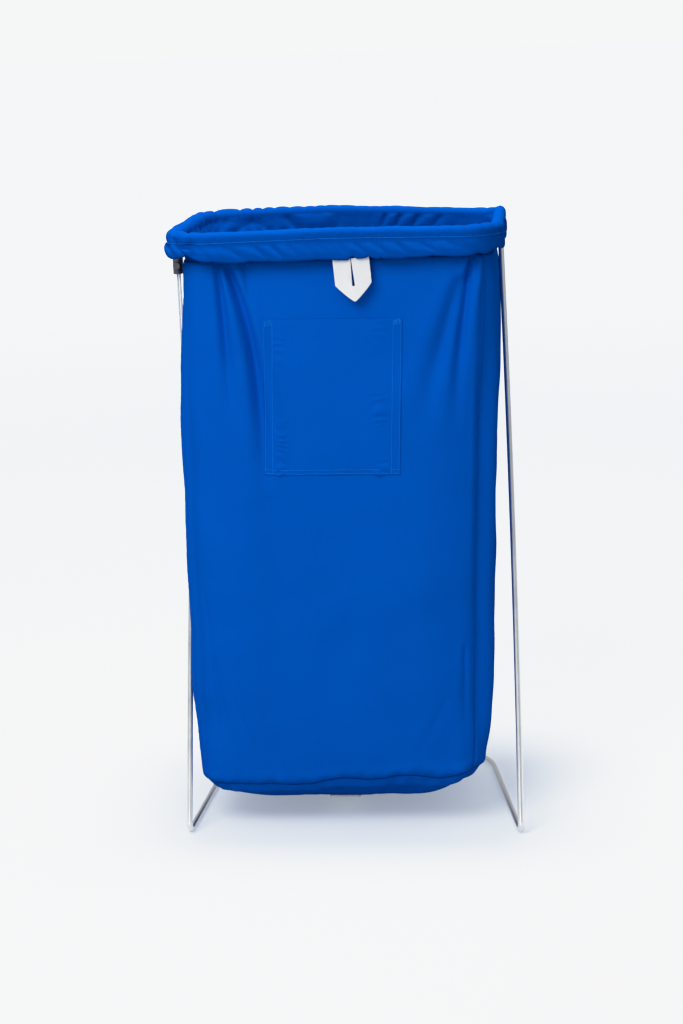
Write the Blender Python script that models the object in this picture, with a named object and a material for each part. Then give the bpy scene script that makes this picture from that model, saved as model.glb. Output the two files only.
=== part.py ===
"""Drawcord bag hung over the hoop of a free-standing wire stand.

Metres, +Z up, +X to the right, the front faces -Y.
The origin lies on the floor, at the centre of the stand's footprint.
"""
import math

import bmesh
import bpy
from mathutils import Matrix, Vector

# ---------------------------------------------------------------- driving dimensions
GAP = 0.0003                    # clearance kept between neighbouring pieces
HALF_DEPTH = 0.1576             # half of the overall depth, front hem face to rear bar

WIRE_R = 0.004                  # 8 mm round wire
WIRE_SIDES = 12                 # facets round the wire, one of them flat on the floor
HOOP_Z = 0.790                  # height of the hoop's wire centre
HOOP_HALF_WIDTH = 0.203
HOOP_CORNER_R = 0.045
HOOP_REAR_Y = 0.1356
HOOP_REAR_BOW = 0.008           # how far the middle of the rear run bows backwards

FOOT_HALF_WIDTH = 0.220
FOOT_BEND_R = 0.010
REAR_HALF_WIDTH = 0.186
REAR_CORNER_R = 0.080
LEG_TOP_Y = 0.0904
LEG_TOP_Z = 0.7843              # the leg's cut end, just under the hoop
LEG_BOW = 0.003                 # outward bow of each leg at mid height
LEG_STEPS = 6

WELD_HEIGHT = 0.003
WELD_WALL = 0.0009
WELD_DROP = 0.004               # centre of the collar, measured down the leg from its top

FABRIC = 0.0015                 # thickness that stands for the cloth and its seam allowances
HEM_INNER = 0.0068              # inner leaf, inboard of the hoop's centre line
HEM_OUTER = 0.0125              # outer leaf, outboard of the hoop's centre line
HEM_TURN_R = 0.0028             # radius of the fold that makes the cord tunnel
HEM_DROP = 0.0295               # lower edge of the band, below the hoop's centre
HEM_INNER_DROP = 0.0300
HEM_TURNED_DROP = 0.014         # free edge of the turned-up leaf

BAG_SHAPE_Z = 0.30              # the walls start to draw in below this height
BAG_SEAM_Z = 0.066              # bottom seam
BAG_HALF_WIDTH_LOW = 0.178
BAG_FRONT_LOW = -0.1244
BAG_REAR_LOW = 0.105
BAG_CORNER_R_LOW = 0.050
BAG_DRAW_IN_POWER = 3.5
BOTTOM_Z = 0.022                # lowest point of the sagging bottom
BOTTOM_SAG_POWER = 3.0
SEAM_GAP = 0.0004

POCKET_X = (-0.0943, 0.0807)
POCKET_Z = (0.484, 0.690)
POCKET_THICKNESS = 0.0010

TAB_X = 0.024                   # centre of the tab
TAB_WIDTH = 0.045
TAB_LENGTH = 0.050
TAB_SHOULDER = 0.026            # straight part of the sides
TAB_THICKNESS = 0.0008
TAB_PIVOT_BEHIND_FACE = 0.0072  # pivot line behind the band's front face
SLIT_LENGTH = 0.031
SLIT_TOP_WIDTH = 0.0012
SLIT_END_WIDTH = 0.0037

STRAP_X = 0.008
STRAP_WIDTH = 0.041
STRAP_LENGTH = 0.130
STRAP_THICKNESS = 0.0015
STRAP_SLACK = 0.006

CORD_R = 0.0013
CORD_SIDES = 8
CORD_OFFSET = 0.0097            # cord centre in the tunnel, outboard of the hoop's centre line
EXIT_Y = -0.025                 # where both tails leave the tunnel, on the left side
TAIL_X = -0.2135
TAIL_SPACING = 0.0032
TAIL_BEND_R = 0.005
EXIT_RUN = 0.009                # tail centre to the first point back in the tunnel
SHORT_TAIL_Z = 0.545
LONG_TAIL_Z = 0.455
KNOT_R = 0.0028
KNOT_LENGTH = 0.009
TAIL_SPREAD = 0.006             # sideways step of the short tail above its knot

LOCK_Z = 0.745
LOCK_HEIGHT = 0.023
LOCK_HALF_X = 0.0060
LOCK_HALF_Y = 0.0110
LOCK_BORE_R = 0.00485
LOCK_BORE_END = 0.0096          # bottom of the blind bore, behind the cords
LOCK_SLOT_HALF_X = 0.0033
LOCK_SLOT_HALF_Y = 0.0017
BUTTON_R = 0.0045
BUTTON_TRAVEL = 0.003
BUTTON_PROUD = 0.004
BUTTON_BACK = 0.0041
SPRING_R = 0.0032
SPRING_WIRE_R = 0.00025
SPRING_TURNS = 3

# ---------------------------------------------------------------- derived dimensions
HEM_REACH = HEM_OUTER + FABRIC / 2
FRONT_WIRE_Y = -(HALF_DEPTH - HEM_REACH)
REAR_BAR_Y = HALF_DEPTH - WIRE_R
HEM_BOTTOM_Z = HOOP_Z - HEM_DROP
BAG_TOP_Z = HOOP_Z - HEM_INNER_DROP - SEAM_GAP
CORD_Z = HEM_BOTTOM_Z + FABRIC / 2 + HEM_TURN_R
TAB_PIVOT_Y = -HALF_DEPTH + TAB_PIVOT_BEHIND_FACE
TAB_PIVOT_Z = HEM_BOTTOM_Z - 0.0015

# Steps along the eight runs of a closed outline: front, corner, right side, corner,
# rear, corner, left side, corner.
RUN_STEPS = (6, 6, 4, 6, 8, 6, 4, 6)
RUNS = len(RUN_STEPS)

STEEL = ("polished_steel", (0.74, 0.75, 0.76), 0.22, 1.0)
BLUE_CLOTH = ("blue_cloth", (0.0, 0.09, 0.52), 0.62, 0.0)
BLUE_SEAM = ("blue_hem_cloth", (0.0, 0.10, 0.55), 0.60, 0.0)
WHITE_WEBBING = ("white_webbing", (0.86, 0.87, 0.88), 0.70, 0.0)
WHITE_CORD = ("white_cord", (0.88, 0.88, 0.87), 0.75, 0.0)
BLACK_PLASTIC = ("black_plastic", (0.012, 0.013, 0.014), 0.35, 0.0)


# ---------------------------------------------------------------- scene and materials
def clear_scene():
    for old in list(bpy.data.objects):
        bpy.data.objects.remove(old, do_unlink=True)


def material(spec):
    name, colour, roughness, metallic = spec
    found = bpy.data.materials.get(name)
    if found:
        return found
    made = bpy.data.materials.new(name)
    made.use_nodes = True
    shader = made.node_tree.nodes["Principled BSDF"]
    shader.inputs["Base Color"].default_value = (*colour, 1.0)
    shader.inputs["Roughness"].default_value = roughness
    shader.inputs["Metallic"].default_value = metallic
    made.diffuse_color = (*colour, 1.0)
    return made


def add_object(name, mesh_maker, finish, smooth=True):
    """Link a new object whose bmesh is filled in by mesh_maker."""
    bm = bmesh.new()
    mesh_maker(bm)
    bmesh.ops.recalc_face_normals(bm, faces=bm.faces[:])
    mesh = bpy.data.meshes.new(name)
    bm.to_mesh(mesh)
    bm.free()
    if finish:
        mesh.materials.append(material(finish))
    if smooth:
        mesh.shade_smooth()
        mesh.set_sharp_from_angle(angle=math.radians(40))
    made = bpy.data.objects.new(name, mesh)
    bpy.context.scene.collection.objects.link(made)
    return made


def solidify(target, thickness):
    modifier = target.modifiers.new("Thickness", "SOLIDIFY")
    modifier.thickness = thickness
    modifier.offset = 0.0
    modifier.use_even_offset = True


def cut(target, cutter):
    """Subtract a hidden cutter from the target."""
    cutter.hide_render = True
    cutter.display_type = "WIRE"
    modifier = target.modifiers.new("Cut_" + cutter.name, "BOOLEAN")
    modifier.operation = "DIFFERENCE"
    modifier.solver = "EXACT"
    modifier.object = cutter


def box_cutter(name, low, high):
    centre = (Vector(low) + Vector(high)) / 2
    size = Vector(high) - Vector(low)

    def fill(bm):
        bmesh.ops.create_cube(bm, size=1.0, matrix=Matrix.Diagonal((*size, 1.0)))

    made = add_object(name, fill, None, smooth=False)
    made.location = centre
    return made


# ---------------------------------------------------------------- closed outlines
class Outline:
    """A rounded rectangle seen from above, with an optional bow in its rear run."""

    def __init__(self, half_width, front, rear, corner_r, bow=0.0):
        self.half_width = half_width
        self.front = front
        self.rear = rear
        self.corner_r = corner_r
        self.bow = bow

    def grown(self, distance):
        return Outline(
            self.half_width + distance,
            self.front - distance,
            self.rear + distance,
            self.corner_r + distance,
            self.bow,
        )

    def point(self, place):
        """Point at a place from 0 to 8, one unit for each run, anticlockwise from above."""
        run = int(math.floor(place)) % RUNS
        part = place - math.floor(place)
        inner_x = self.half_width - self.corner_r
        inner_front = self.front + self.corner_r
        inner_rear = self.rear - self.corner_r
        side = run // 2
        if run % 2 == 0:
            ends = (
                ((-inner_x, self.front), (inner_x, self.front)),
                ((self.half_width, inner_front), (self.half_width, inner_rear)),
                ((inner_x, self.rear), (-inner_x, self.rear)),
                ((-self.half_width, inner_rear), (-self.half_width, inner_front)),
            )[side]
            x = ends[0][0] + (ends[1][0] - ends[0][0]) * part
            y = ends[0][1] + (ends[1][1] - ends[0][1]) * part
        else:
            centres = (
                (inner_x, inner_front),
                (inner_x, inner_rear),
                (-inner_x, inner_rear),
                (-inner_x, inner_front),
            )
            angle = (side - 1 + part) * math.pi / 2
            x = centres[side][0] + self.corner_r * math.cos(angle)
            y = centres[side][1] + self.corner_r * math.sin(angle)
        return x, self.bowed(x, y)

    def bowed(self, x, y):
        if self.bow == 0.0 or y <= 0.0:
            return y
        across = 1.0 - (x / self.half_width) ** 2
        return y + self.bow * across * (y / self.rear) ** 2


HOOP = Outline(HOOP_HALF_WIDTH, FRONT_WIRE_Y, HOOP_REAR_Y, HOOP_CORNER_R, HOOP_REAR_BOW)
BAG_TOP = HOOP.grown(-HEM_INNER)
BAG_LOW = Outline(BAG_HALF_WIDTH_LOW, BAG_FRONT_LOW, BAG_REAR_LOW, BAG_CORNER_R_LOW)


def all_places():
    return [run + step / steps for run, steps in enumerate(RUN_STEPS) for step in range(steps)]


def bag_point(place, z):
    """Middle surface of the bag's wall."""
    fall = max(0.0, (BAG_SHAPE_Z - z) / (BAG_SHAPE_Z - BAG_SEAM_Z))
    draw_in = fall ** BAG_DRAW_IN_POWER
    top_x, top_y = BAG_TOP.point(place)
    low_x, low_y = BAG_LOW.point(place)
    x = top_x + (low_x - top_x) * draw_in
    y = top_y + (low_y - top_y) * draw_in
    return Vector((x, y, z))


def front_y(z):
    return bag_point(0.5, z).y


# ---------------------------------------------------------------- bmesh shapes
def grid_faces(bm, rows, wrap=False):
    """Quads between rows of points; wrap joins each row's end to its start."""
    verts = [[bm.verts.new(point) for point in row] for row in rows]
    for lower, upper in zip(verts, verts[1:]):
        count = len(lower)
        for index in range(count if wrap else count - 1):
            after = (index + 1) % count
            bm.faces.new((lower[index], lower[after], upper[after], upper[index]))
    return verts


def section_round(radius, sides):
    """Polygon whose flats, not corners, lie at the radius."""
    reach = radius / math.cos(math.pi / sides)
    angles = [(step + 0.5) * 2 * math.pi / sides for step in range(sides)]
    return [(reach * math.cos(angle), reach * math.sin(angle)) for angle in angles]


def sweep_frames(path, first_normal, start):
    """Parallel-transported normals along the path, starting at index start."""
    last = len(path) - 1
    tangents = [
        (path[min(index + 1, last)] - path[max(index - 1, 0)]).normalized()
        for index in range(last + 1)
    ]
    normals = [None] * (last + 1)
    normals[start] = Vector(first_normal).normalized()
    for index in list(range(start + 1, last + 1)) + list(range(start - 1, -1, -1)):
        previous = index - 1 if index > start else index + 1
        turn = tangents[previous].rotation_difference(tangents[index])
        carried = turn @ normals[previous]
        carried -= tangents[index] * carried.dot(tangents[index])
        normals[index] = carried.normalized()
    return tangents, normals


def sweep(bm, path, radii, sides, first_normal, start=0):
    """Round section carried along an open path, with closed ends."""
    tangents, normals = sweep_frames(path, first_normal, start)
    unit = section_round(1.0, sides)
    rows = []
    for point, radius, tangent, normal in zip(path, radii, tangents, normals):
        across = tangent.cross(normal)
        rows.append([point + (across * u + normal * v) * radius for u, v in unit])
    verts = grid_faces(bm, rows, wrap=True)
    bm.faces.new(verts[0])
    bm.faces.new(verts[-1])


def fillet_path(corners):
    """Polyline through (point, radius, steps); each radius above zero becomes an arc."""
    path = []
    last = len(corners) - 1
    for index, (point, radius, steps) in enumerate(corners):
        here = Vector(point)
        if radius <= 0.0 or index in (0, last):
            path.append(here)
            continue
        back = (Vector(corners[index - 1][0]) - here).normalized()
        ahead = (Vector(corners[index + 1][0]) - here).normalized()
        half = back.angle(ahead) / 2
        centre = here + (back + ahead).normalized() * (radius / math.sin(half))
        reach = radius / math.tan(half)
        spoke_a = (here + back * reach - centre).normalized()
        spoke_b = (here + ahead * reach - centre).normalized()
        for step in range(steps + 1):
            path.append(centre + spoke_a.slerp(spoke_b, step / steps) * radius)
    return path


# ---------------------------------------------------------------- stand
def leg_points(side):
    """Bowed leg from its top end towards the foot, without the foot's corner."""
    points = []
    top = Vector((side * HOOP_HALF_WIDTH, LEG_TOP_Y, LEG_TOP_Z))
    foot = foot_corner(side)
    for step in range(LEG_STEPS):
        down = step / LEG_STEPS
        point = top.lerp(foot, down)
        point.x += side * LEG_BOW * 4 * down * (1 - down)
        points.append(point)
    return points


def foot_corner(side):
    """Where the straight leg and rail would meet: the bend's front lies on the hoop's front."""
    lean = math.atan2(LEG_TOP_Y - FRONT_WIRE_Y, LEG_TOP_Z - WIRE_R)
    inside = math.pi / 2 - lean
    overrun = FOOT_BEND_R / math.tan(inside / 2) - FOOT_BEND_R
    return Vector((side * FOOT_HALF_WIDTH, FRONT_WIRE_Y - overrun, WIRE_R))


def leg_frame_path():
    left = [(point, 0.0, 0) for point in leg_points(-1)]
    right = [(point, 0.0, 0) for point in reversed(leg_points(1))]
    floor = [
        (foot_corner(-1), FOOT_BEND_R, 6),
        ((-REAR_HALF_WIDTH, REAR_BAR_Y, WIRE_R), REAR_CORNER_R, 7),
        ((0.0, REAR_BAR_Y, WIRE_R), 0.0, 0),
        ((REAR_HALF_WIDTH, REAR_BAR_Y, WIRE_R), REAR_CORNER_R, 7),
        (foot_corner(1), FOOT_BEND_R, 6),
    ]
    return fillet_path(left + floor + right)


def build_leg_frame():
    path = leg_frame_path()
    middle = len(path) // 2

    def fill(bm):
        sweep(bm, path, [WIRE_R] * len(path), WIRE_SIDES, (0, 0, 1), middle)

    add_object("leg_frame", fill, STEEL)


def build_top_hoop():
    section = section_round(WIRE_R, WIRE_SIDES)

    def fill(bm):
        rows = []
        for u, v in section + section[:1]:
            ring = HOOP.grown(u)
            rows.append([(*ring.point(place), HOOP_Z + v) for place in all_places()])
        grid_faces(bm, rows, wrap=True)
        bmesh.ops.remove_doubles(bm, verts=bm.verts[:], dist=1e-6)

    add_object("top_hoop", fill, STEEL)


def build_leg_weld(side, name):
    top, below = leg_points(side)[:2]
    down = (below - top).normalized()
    inner = WIRE_R / math.cos(math.pi / WIRE_SIDES) + GAP
    outer = inner + WELD_WALL
    half = WELD_HEIGHT / 2
    profile = [(inner, -half), (outer, -half + WELD_WALL / 2), (outer, half), (inner, half)]

    def fill(bm):
        verts = [bm.verts.new((radius, 0.0, height)) for radius, height in profile]
        edges = [bm.edges.new((verts[i], verts[(i + 1) % 4])) for i in range(4)]
        bmesh.ops.spin(
            bm,
            geom=verts + edges,
            cent=(0, 0, 0),
            axis=(0, 0, 1),
            angle=2 * math.pi,
            steps=24,
            use_merge=True,
        )

    made = add_object(name, fill, STEEL)
    made.location = top + down * WELD_DROP
    made.rotation_mode = "QUATERNION"
    made.rotation_quaternion = Vector((0, 0, -1)).rotation_difference(down)


# ---------------------------------------------------------------- bag
def build_wall_panel(name, first_place, steps):
    """One wall between two corner seams; the places span two runs' worth of outline."""
    corner_length = HOOP_CORNER_R * math.pi / 2
    trim = SEAM_GAP / 2 / corner_length
    places = [first_place + trim]
    places += [first_place + 2.0 * step / steps for step in range(1, steps)]
    places.append(first_place + 2.0 - trim)
    heights = wall_heights()

    def fill(bm):
        grid_faces(bm, [[bag_point(place % RUNS, z) for place in places] for z in heights])

    made = add_object(name, fill, BLUE_CLOTH)
    solidify(made, FABRIC)


def wall_heights():
    """Rows from the bottom seam to the top, closer together where the wall curves in."""
    curved = [BAG_SEAM_Z + (BAG_SHAPE_Z - BAG_SEAM_Z) * (step / 7) ** 1.4 for step in range(8)]
    straight_rows = 3
    straight = [
        BAG_SHAPE_Z + (BAG_TOP_Z - BAG_SHAPE_Z) * step / straight_rows
        for step in range(1, straight_rows + 1)
    ]
    return curved + straight


def build_bottom_panel():
    rings = 6
    seam_z = BAG_SEAM_Z - SEAM_GAP - FABRIC / 2
    centre_y = (BAG_FRONT_LOW + BAG_REAR_LOW) / 2

    def ring_points(ring):
        out = ring / rings
        z = BOTTOM_Z + (seam_z - BOTTOM_Z) * out ** BOTTOM_SAG_POWER
        points = []
        for place in all_places()[::2]:
            x, y = BAG_LOW.point(place)
            points.append((x * out, centre_y + (y - centre_y) * out, z))
        return points

    def fill(bm):
        verts = grid_faces(bm, [ring_points(ring) for ring in range(1, rings + 1)], wrap=True)
        middle = bm.verts.new((0.0, centre_y, BOTTOM_Z))
        inner = verts[0]
        for index, vert in enumerate(inner):
            bm.faces.new((middle, vert, inner[(index + 1) % len(inner)]))

    made = add_object("bottom_panel", fill, BLUE_CLOTH)
    solidify(made, FABRIC)


def hem_profile():
    """Middle line of the hem's cloth in (outboard, up) from the wire's centre."""
    profile = [(-HEM_INNER, -HEM_INNER_DROP), (-HEM_INNER, -HEM_INNER_DROP / 2)]
    over_steps = 6
    for step in range(over_steps + 1):
        angle = math.pi - math.pi * step / over_steps
        profile.append((HEM_INNER * math.cos(angle), HEM_INNER * math.sin(angle)))
    turn_z = -HEM_DROP + FABRIC / 2 + HEM_TURN_R
    profile.append((HEM_OUTER, turn_z / 2))
    turn_steps = 6
    for step in range(turn_steps + 1):
        angle = -math.pi * step / turn_steps
        u = HEM_OUTER - HEM_TURN_R + HEM_TURN_R * math.cos(angle)
        profile.append((u, turn_z + HEM_TURN_R * math.sin(angle)))
    profile.append((HEM_OUTER - 2 * HEM_TURN_R, -HEM_TURNED_DROP))
    return profile


def build_hem_casing():
    def fill(bm):
        rows = []
        for u, v in hem_profile():
            ring = HOOP.grown(u)
            rows.append([(*ring.point(place), HOOP_Z + v) for place in all_places()])
        grid_faces(bm, rows, wrap=True)

    made = add_object("hem_casing", fill, BLUE_SEAM)
    solidify(made, FABRIC)
    exit_half = EXIT_RUN + 0.001
    low = (TAIL_X - 0.0045, EXIT_Y - exit_half, HEM_BOTTOM_Z - 0.002)
    high = (TAIL_X + 0.0042, EXIT_Y + exit_half, CORD_Z + CORD_R + 2 * GAP)
    cut(made, box_cutter("cord_exit_cutter", low, high))


def build_pocket_patch():
    columns = 6
    rows = 5
    offset = FABRIC / 2 + GAP + POCKET_THICKNESS / 2

    def fill(bm):
        points = []
        for row in range(rows + 1):
            z = POCKET_Z[0] + (POCKET_Z[1] - POCKET_Z[0]) * row / rows
            xs = [POCKET_X[0] + (POCKET_X[1] - POCKET_X[0]) * i / columns for i in range(columns + 1)]
            points.append([(x, front_y(z) - offset, z) for x in xs])
        grid_faces(bm, points)

    made = add_object("pocket_patch", fill, BLUE_CLOTH)
    solidify(made, POCKET_THICKNESS)


def tab_outline():
    """Pentagon hanging from its top edge at z = 0, with a slit open at the top."""
    half = TAB_WIDTH / 2
    return [
        (-half, 0.0),
        (-half, -TAB_SHOULDER),
        (-0.003, -TAB_LENGTH + 0.001),
        (0.0, -TAB_LENGTH),
        (0.003, -TAB_LENGTH + 0.001),
        (half, -TAB_SHOULDER),
        (half, 0.0),
        (SLIT_TOP_WIDTH / 2, 0.0),
        (SLIT_END_WIDTH / 2, -SLIT_LENGTH),
        (-SLIT_END_WIDTH / 2, -SLIT_LENGTH),
        (-SLIT_TOP_WIDTH / 2, 0.0),
    ]


def build_closing_tab():
    """The object's origin is the middle of its sewn top edge, on its hinge line."""
    def fill(bm):
        half = TAB_THICKNESS / 2
        face = bm.faces.new([bm.verts.new((x, -half, z)) for x, z in tab_outline()])
        grown = bmesh.ops.extrude_face_region(bm, geom=[face])["geom"]
        moved = [item for item in grown if isinstance(item, bmesh.types.BMVert)]
        bmesh.ops.translate(bm, verts=moved, vec=(0, TAB_THICKNESS, 0))

    made = add_object("closing_tab", fill, WHITE_WEBBING, smooth=False)
    made.location = (TAB_X, TAB_PIVOT_Y, TAB_PIVOT_Z)


def build_pull_strap():
    """Webbing under the bottom, front to back: sewn at both ends, slack between them."""
    steps = 8
    centre_y = (BAG_FRONT_LOW + BAG_REAR_LOW) / 2
    clearance = FABRIC / 2 + GAP + STRAP_THICKNESS

    def bottom_z(y):
        out = abs(y - centre_y) / ((BAG_REAR_LOW - BAG_FRONT_LOW) / 2)
        return BOTTOM_Z + (BAG_SEAM_Z - BOTTOM_Z) * out ** BOTTOM_SAG_POWER

    def fill(bm):
        rows = []
        for step in range(steps + 1):
            along = step / steps
            y = centre_y + STRAP_LENGTH * (along - 0.5)
            slack = STRAP_SLACK * math.sin(math.pi * along) ** 2
            z = min(bottom_z(y), BOTTOM_Z + 0.006) - clearance - slack
            half = STRAP_WIDTH / 2
            rows.append([(STRAP_X - half, y, z), (STRAP_X + half, y, z)])
        grid_faces(bm, rows)

    made = add_object("pull_strap", fill, WHITE_WEBBING)
    solidify(made, STRAP_THICKNESS)


# ---------------------------------------------------------------- draw cord and its lock
def draw_cord_path():
    """From the short tail's end up into the tunnel, once round it, and down the long tail."""
    ring = HOOP.grown(CORD_OFFSET)
    side_length = (HOOP_REAR_Y - HOOP_CORNER_R) - (FRONT_WIRE_Y + HOOP_CORNER_R)
    exit_place = 6 + (HOOP_REAR_Y - HOOP_CORNER_R - EXIT_Y) / side_length
    skip = EXIT_RUN / side_length
    short_x = TAIL_X - TAIL_SPACING / 2
    long_x = TAIL_X + TAIL_SPACING / 2
    step_z = SHORT_TAIL_Z + 0.012
    short_y = EXIT_Y - TAIL_SPREAD
    corners = [((short_x, short_y, z), 0.0, 0) for z in knot_heights(SHORT_TAIL_Z)]
    corners.append(((short_x, short_y, step_z), 0.0, 0))
    corners.append(((short_x, EXIT_Y, step_z + 0.008), 0.0, 0))
    corners.append(((short_x, EXIT_Y, CORD_Z), TAIL_BEND_R, 5))
    tunnel = [place for place in reversed(all_places()) if place < exit_place - skip]
    tunnel += [place for place in reversed(all_places()) if place > exit_place + skip]
    tunnel = [exit_place - skip] + tunnel + [exit_place + skip]
    corners += [((*ring.point(place % RUNS), CORD_Z), 0.0, 0) for place in tunnel]
    corners.append(((long_x, EXIT_Y, CORD_Z), TAIL_BEND_R, 5))
    corners += [((long_x, EXIT_Y, z), 0.0, 0) for z in reversed(knot_heights(LONG_TAIL_Z))]
    return fillet_path(corners)


KNOT_STEPS = 6


def knot_heights(end_z):
    return [end_z + KNOT_LENGTH * step / KNOT_STEPS for step in range(KNOT_STEPS + 1)]


def knot_radii():
    rise = [math.sin(math.pi * step / KNOT_STEPS) for step in range(KNOT_STEPS + 1)]
    return [CORD_R + (KNOT_R - CORD_R) * part for part in rise]


def build_draw_cord():
    path = draw_cord_path()
    radii = [CORD_R] * len(path)
    radii[:KNOT_STEPS + 1] = knot_radii()
    radii[-KNOT_STEPS - 1:] = knot_radii()

    def fill(bm):
        sweep(bm, path, radii, CORD_SIDES, (1, 0, 0))

    add_object("draw_cord", fill, WHITE_CORD)


def lock_frame():
    """Empty at the lock's centre, on the line down which the lock slides."""
    frame = bpy.data.objects.new("cord_lock_frame", None)
    frame.location = (TAIL_X, EXIT_Y, LOCK_Z)
    bpy.context.scene.collection.objects.link(frame)
    return frame


def build_lock_body(frame):
    half_height = LOCK_HEIGHT / 2
    round_steps = 10
    straight = LOCK_HALF_Y - LOCK_HALF_X

    def fill(bm):
        outline = []
        for end in (-1, 1):
            for step in range(round_steps + 1):
                angle = math.pi * step / round_steps + (math.pi if end < 0 else 0.0)
                x = LOCK_HALF_X * math.cos(angle)
                y = LOCK_HALF_X * math.sin(angle) + end * straight
                outline.append((x, y, -half_height))
        face = bm.faces.new([bm.verts.new(point) for point in outline])
        grown = bmesh.ops.extrude_face_region(bm, geom=[face])["geom"]
        moved = [item for item in grown if isinstance(item, bmesh.types.BMVert)]
        bmesh.ops.translate(bm, verts=moved, vec=(0, 0, LOCK_HEIGHT))

    made = add_object("cord_lock_body", fill, BLACK_PLASTIC)
    made.parent = frame
    bevel = made.modifiers.new("Edge", "BEVEL")
    bevel.width = 0.0009
    bevel.segments = 2
    bevel.limit_method = "ANGLE"
    slot = box_cutter(
        "lock_slot_cutter",
        (-LOCK_SLOT_HALF_X, -LOCK_SLOT_HALF_Y, -half_height - 0.001),
        (LOCK_SLOT_HALF_X, LOCK_SLOT_HALF_Y, half_height + 0.001),
    )
    slot.parent = frame
    bore = cylinder_y("lock_bore_cutter", LOCK_BORE_R, -LOCK_HALF_Y - 0.001, LOCK_BORE_END)
    bore.parent = frame
    cut(made, bore)
    cut(made, slot)


def cylinder_y(name, radius, start_y, end_y, finish=None):
    """Cylinder along Y between two Y values."""
    def fill(bm):
        turned = Matrix.Rotation(math.pi / 2, 4, "X")
        centre = Matrix.Translation((0, (start_y + end_y) / 2, 0))
        bmesh.ops.create_cone(
            bm,
            cap_ends=True,
            segments=24,
            radius1=radius,
            radius2=radius,
            depth=end_y - start_y,
            matrix=centre @ turned,
        )

    return add_object(name, fill, finish)


def build_lock_button(frame):
    """Plunger with a slot that clears the cords over the whole of its travel."""
    front = -LOCK_HALF_Y - BUTTON_PROUD
    made = cylinder_y("cord_lock_button", BUTTON_R, front, BUTTON_BACK, BLACK_PLASTIC)
    made.parent = frame
    slot = box_cutter(
        "button_slot_cutter",
        (-LOCK_SLOT_HALF_X, -LOCK_SLOT_HALF_Y - BUTTON_TRAVEL, -0.007),
        (LOCK_SLOT_HALF_X, LOCK_SLOT_HALF_Y, 0.007),
    )
    slot.parent = frame
    cut(made, slot)


def build_lock_spring(frame):
    start_y = BUTTON_BACK + GAP + SPRING_WIRE_R
    end_y = LOCK_BORE_END - GAP - SPRING_WIRE_R
    steps_per_turn = 12
    total = SPRING_TURNS * steps_per_turn
    path = []
    for step in range(total + 1):
        angle = 2 * math.pi * step / steps_per_turn
        y = start_y + (end_y - start_y) * step / total
        path.append(Vector((SPRING_R * math.cos(angle), y, SPRING_R * math.sin(angle))))

    def fill(bm):
        sweep(bm, path, [SPRING_WIRE_R] * len(path), 6, (1, 0, 0))

    made = add_object("cord_lock_spring", fill, STEEL)
    made.parent = frame


# ---------------------------------------------------------------- assembly
def build_stand():
    build_leg_frame()
    build_top_hoop()
    build_leg_weld(-1, "leg_weld_left")
    build_leg_weld(1, "leg_weld_right")


def build_bag():
    build_wall_panel("front_panel", 7.5, 12)
    build_wall_panel("side_panel_right", 1.5, 12)
    build_wall_panel("back_panel", 3.5, 14)
    build_wall_panel("side_panel_left", 5.5, 12)
    build_bottom_panel()
    build_hem_casing()
    build_pocket_patch()
    build_closing_tab()
    build_pull_strap()


def build_closure():
    build_draw_cord()
    frame = lock_frame()
    build_lock_body(frame)
    build_lock_button(frame)
    build_lock_spring(frame)


clear_scene()
build_stand()
build_bag()
build_closure()
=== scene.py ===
"""Looks of a drawcord bag hung on its wire stand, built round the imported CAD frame.

Metres, +Z up, +X to the right, the front faces -Y, the floor is z = 0.
"""

import math

import bmesh
import bpy
import numpy as np
from mathutils import Matrix, Vector


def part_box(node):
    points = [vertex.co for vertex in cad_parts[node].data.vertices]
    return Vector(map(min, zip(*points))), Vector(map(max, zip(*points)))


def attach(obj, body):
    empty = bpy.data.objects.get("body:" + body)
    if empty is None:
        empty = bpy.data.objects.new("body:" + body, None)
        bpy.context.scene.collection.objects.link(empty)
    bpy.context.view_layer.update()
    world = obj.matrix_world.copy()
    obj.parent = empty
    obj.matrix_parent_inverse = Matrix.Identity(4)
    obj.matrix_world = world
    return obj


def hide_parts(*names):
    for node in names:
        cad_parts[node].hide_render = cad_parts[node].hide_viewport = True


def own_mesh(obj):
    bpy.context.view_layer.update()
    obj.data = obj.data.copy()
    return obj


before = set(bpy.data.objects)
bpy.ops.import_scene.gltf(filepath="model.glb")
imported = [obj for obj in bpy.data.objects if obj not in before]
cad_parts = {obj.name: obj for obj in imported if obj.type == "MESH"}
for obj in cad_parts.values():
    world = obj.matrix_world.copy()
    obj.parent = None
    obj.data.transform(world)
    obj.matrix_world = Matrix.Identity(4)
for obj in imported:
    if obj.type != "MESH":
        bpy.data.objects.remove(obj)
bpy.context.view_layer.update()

# ================================================================= sizes taken from the frame
HOOP_LOW, HOOP_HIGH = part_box("top_hoop")
LEG_LOW, LEG_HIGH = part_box("leg_frame")
HEM_LOW, HEM_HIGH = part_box("hem_casing")
WALL_LOW, WALL_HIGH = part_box("front_panel")
BOTTOM_LOW, BOTTOM_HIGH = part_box("bottom_panel")
POCKET_LOW, POCKET_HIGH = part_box("pocket_patch")
TAB_LOW, TAB_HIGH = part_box("closing_tab")
STRAP_LOW, STRAP_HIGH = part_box("pull_strap")
CORD_LOW, CORD_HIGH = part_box("draw_cord")
LOCK_LOW, LOCK_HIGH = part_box("cord_lock_body")

WIRE_R = (HOOP_HIGH.z - HOOP_LOW.z) / 2
HOOP_Z = (HOOP_HIGH.z + HOOP_LOW.z) / 2
REAR_BOW = 0.008                # the hoop's rear run bows backwards by this much
HOOP_CORNER_R = 0.045

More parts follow.
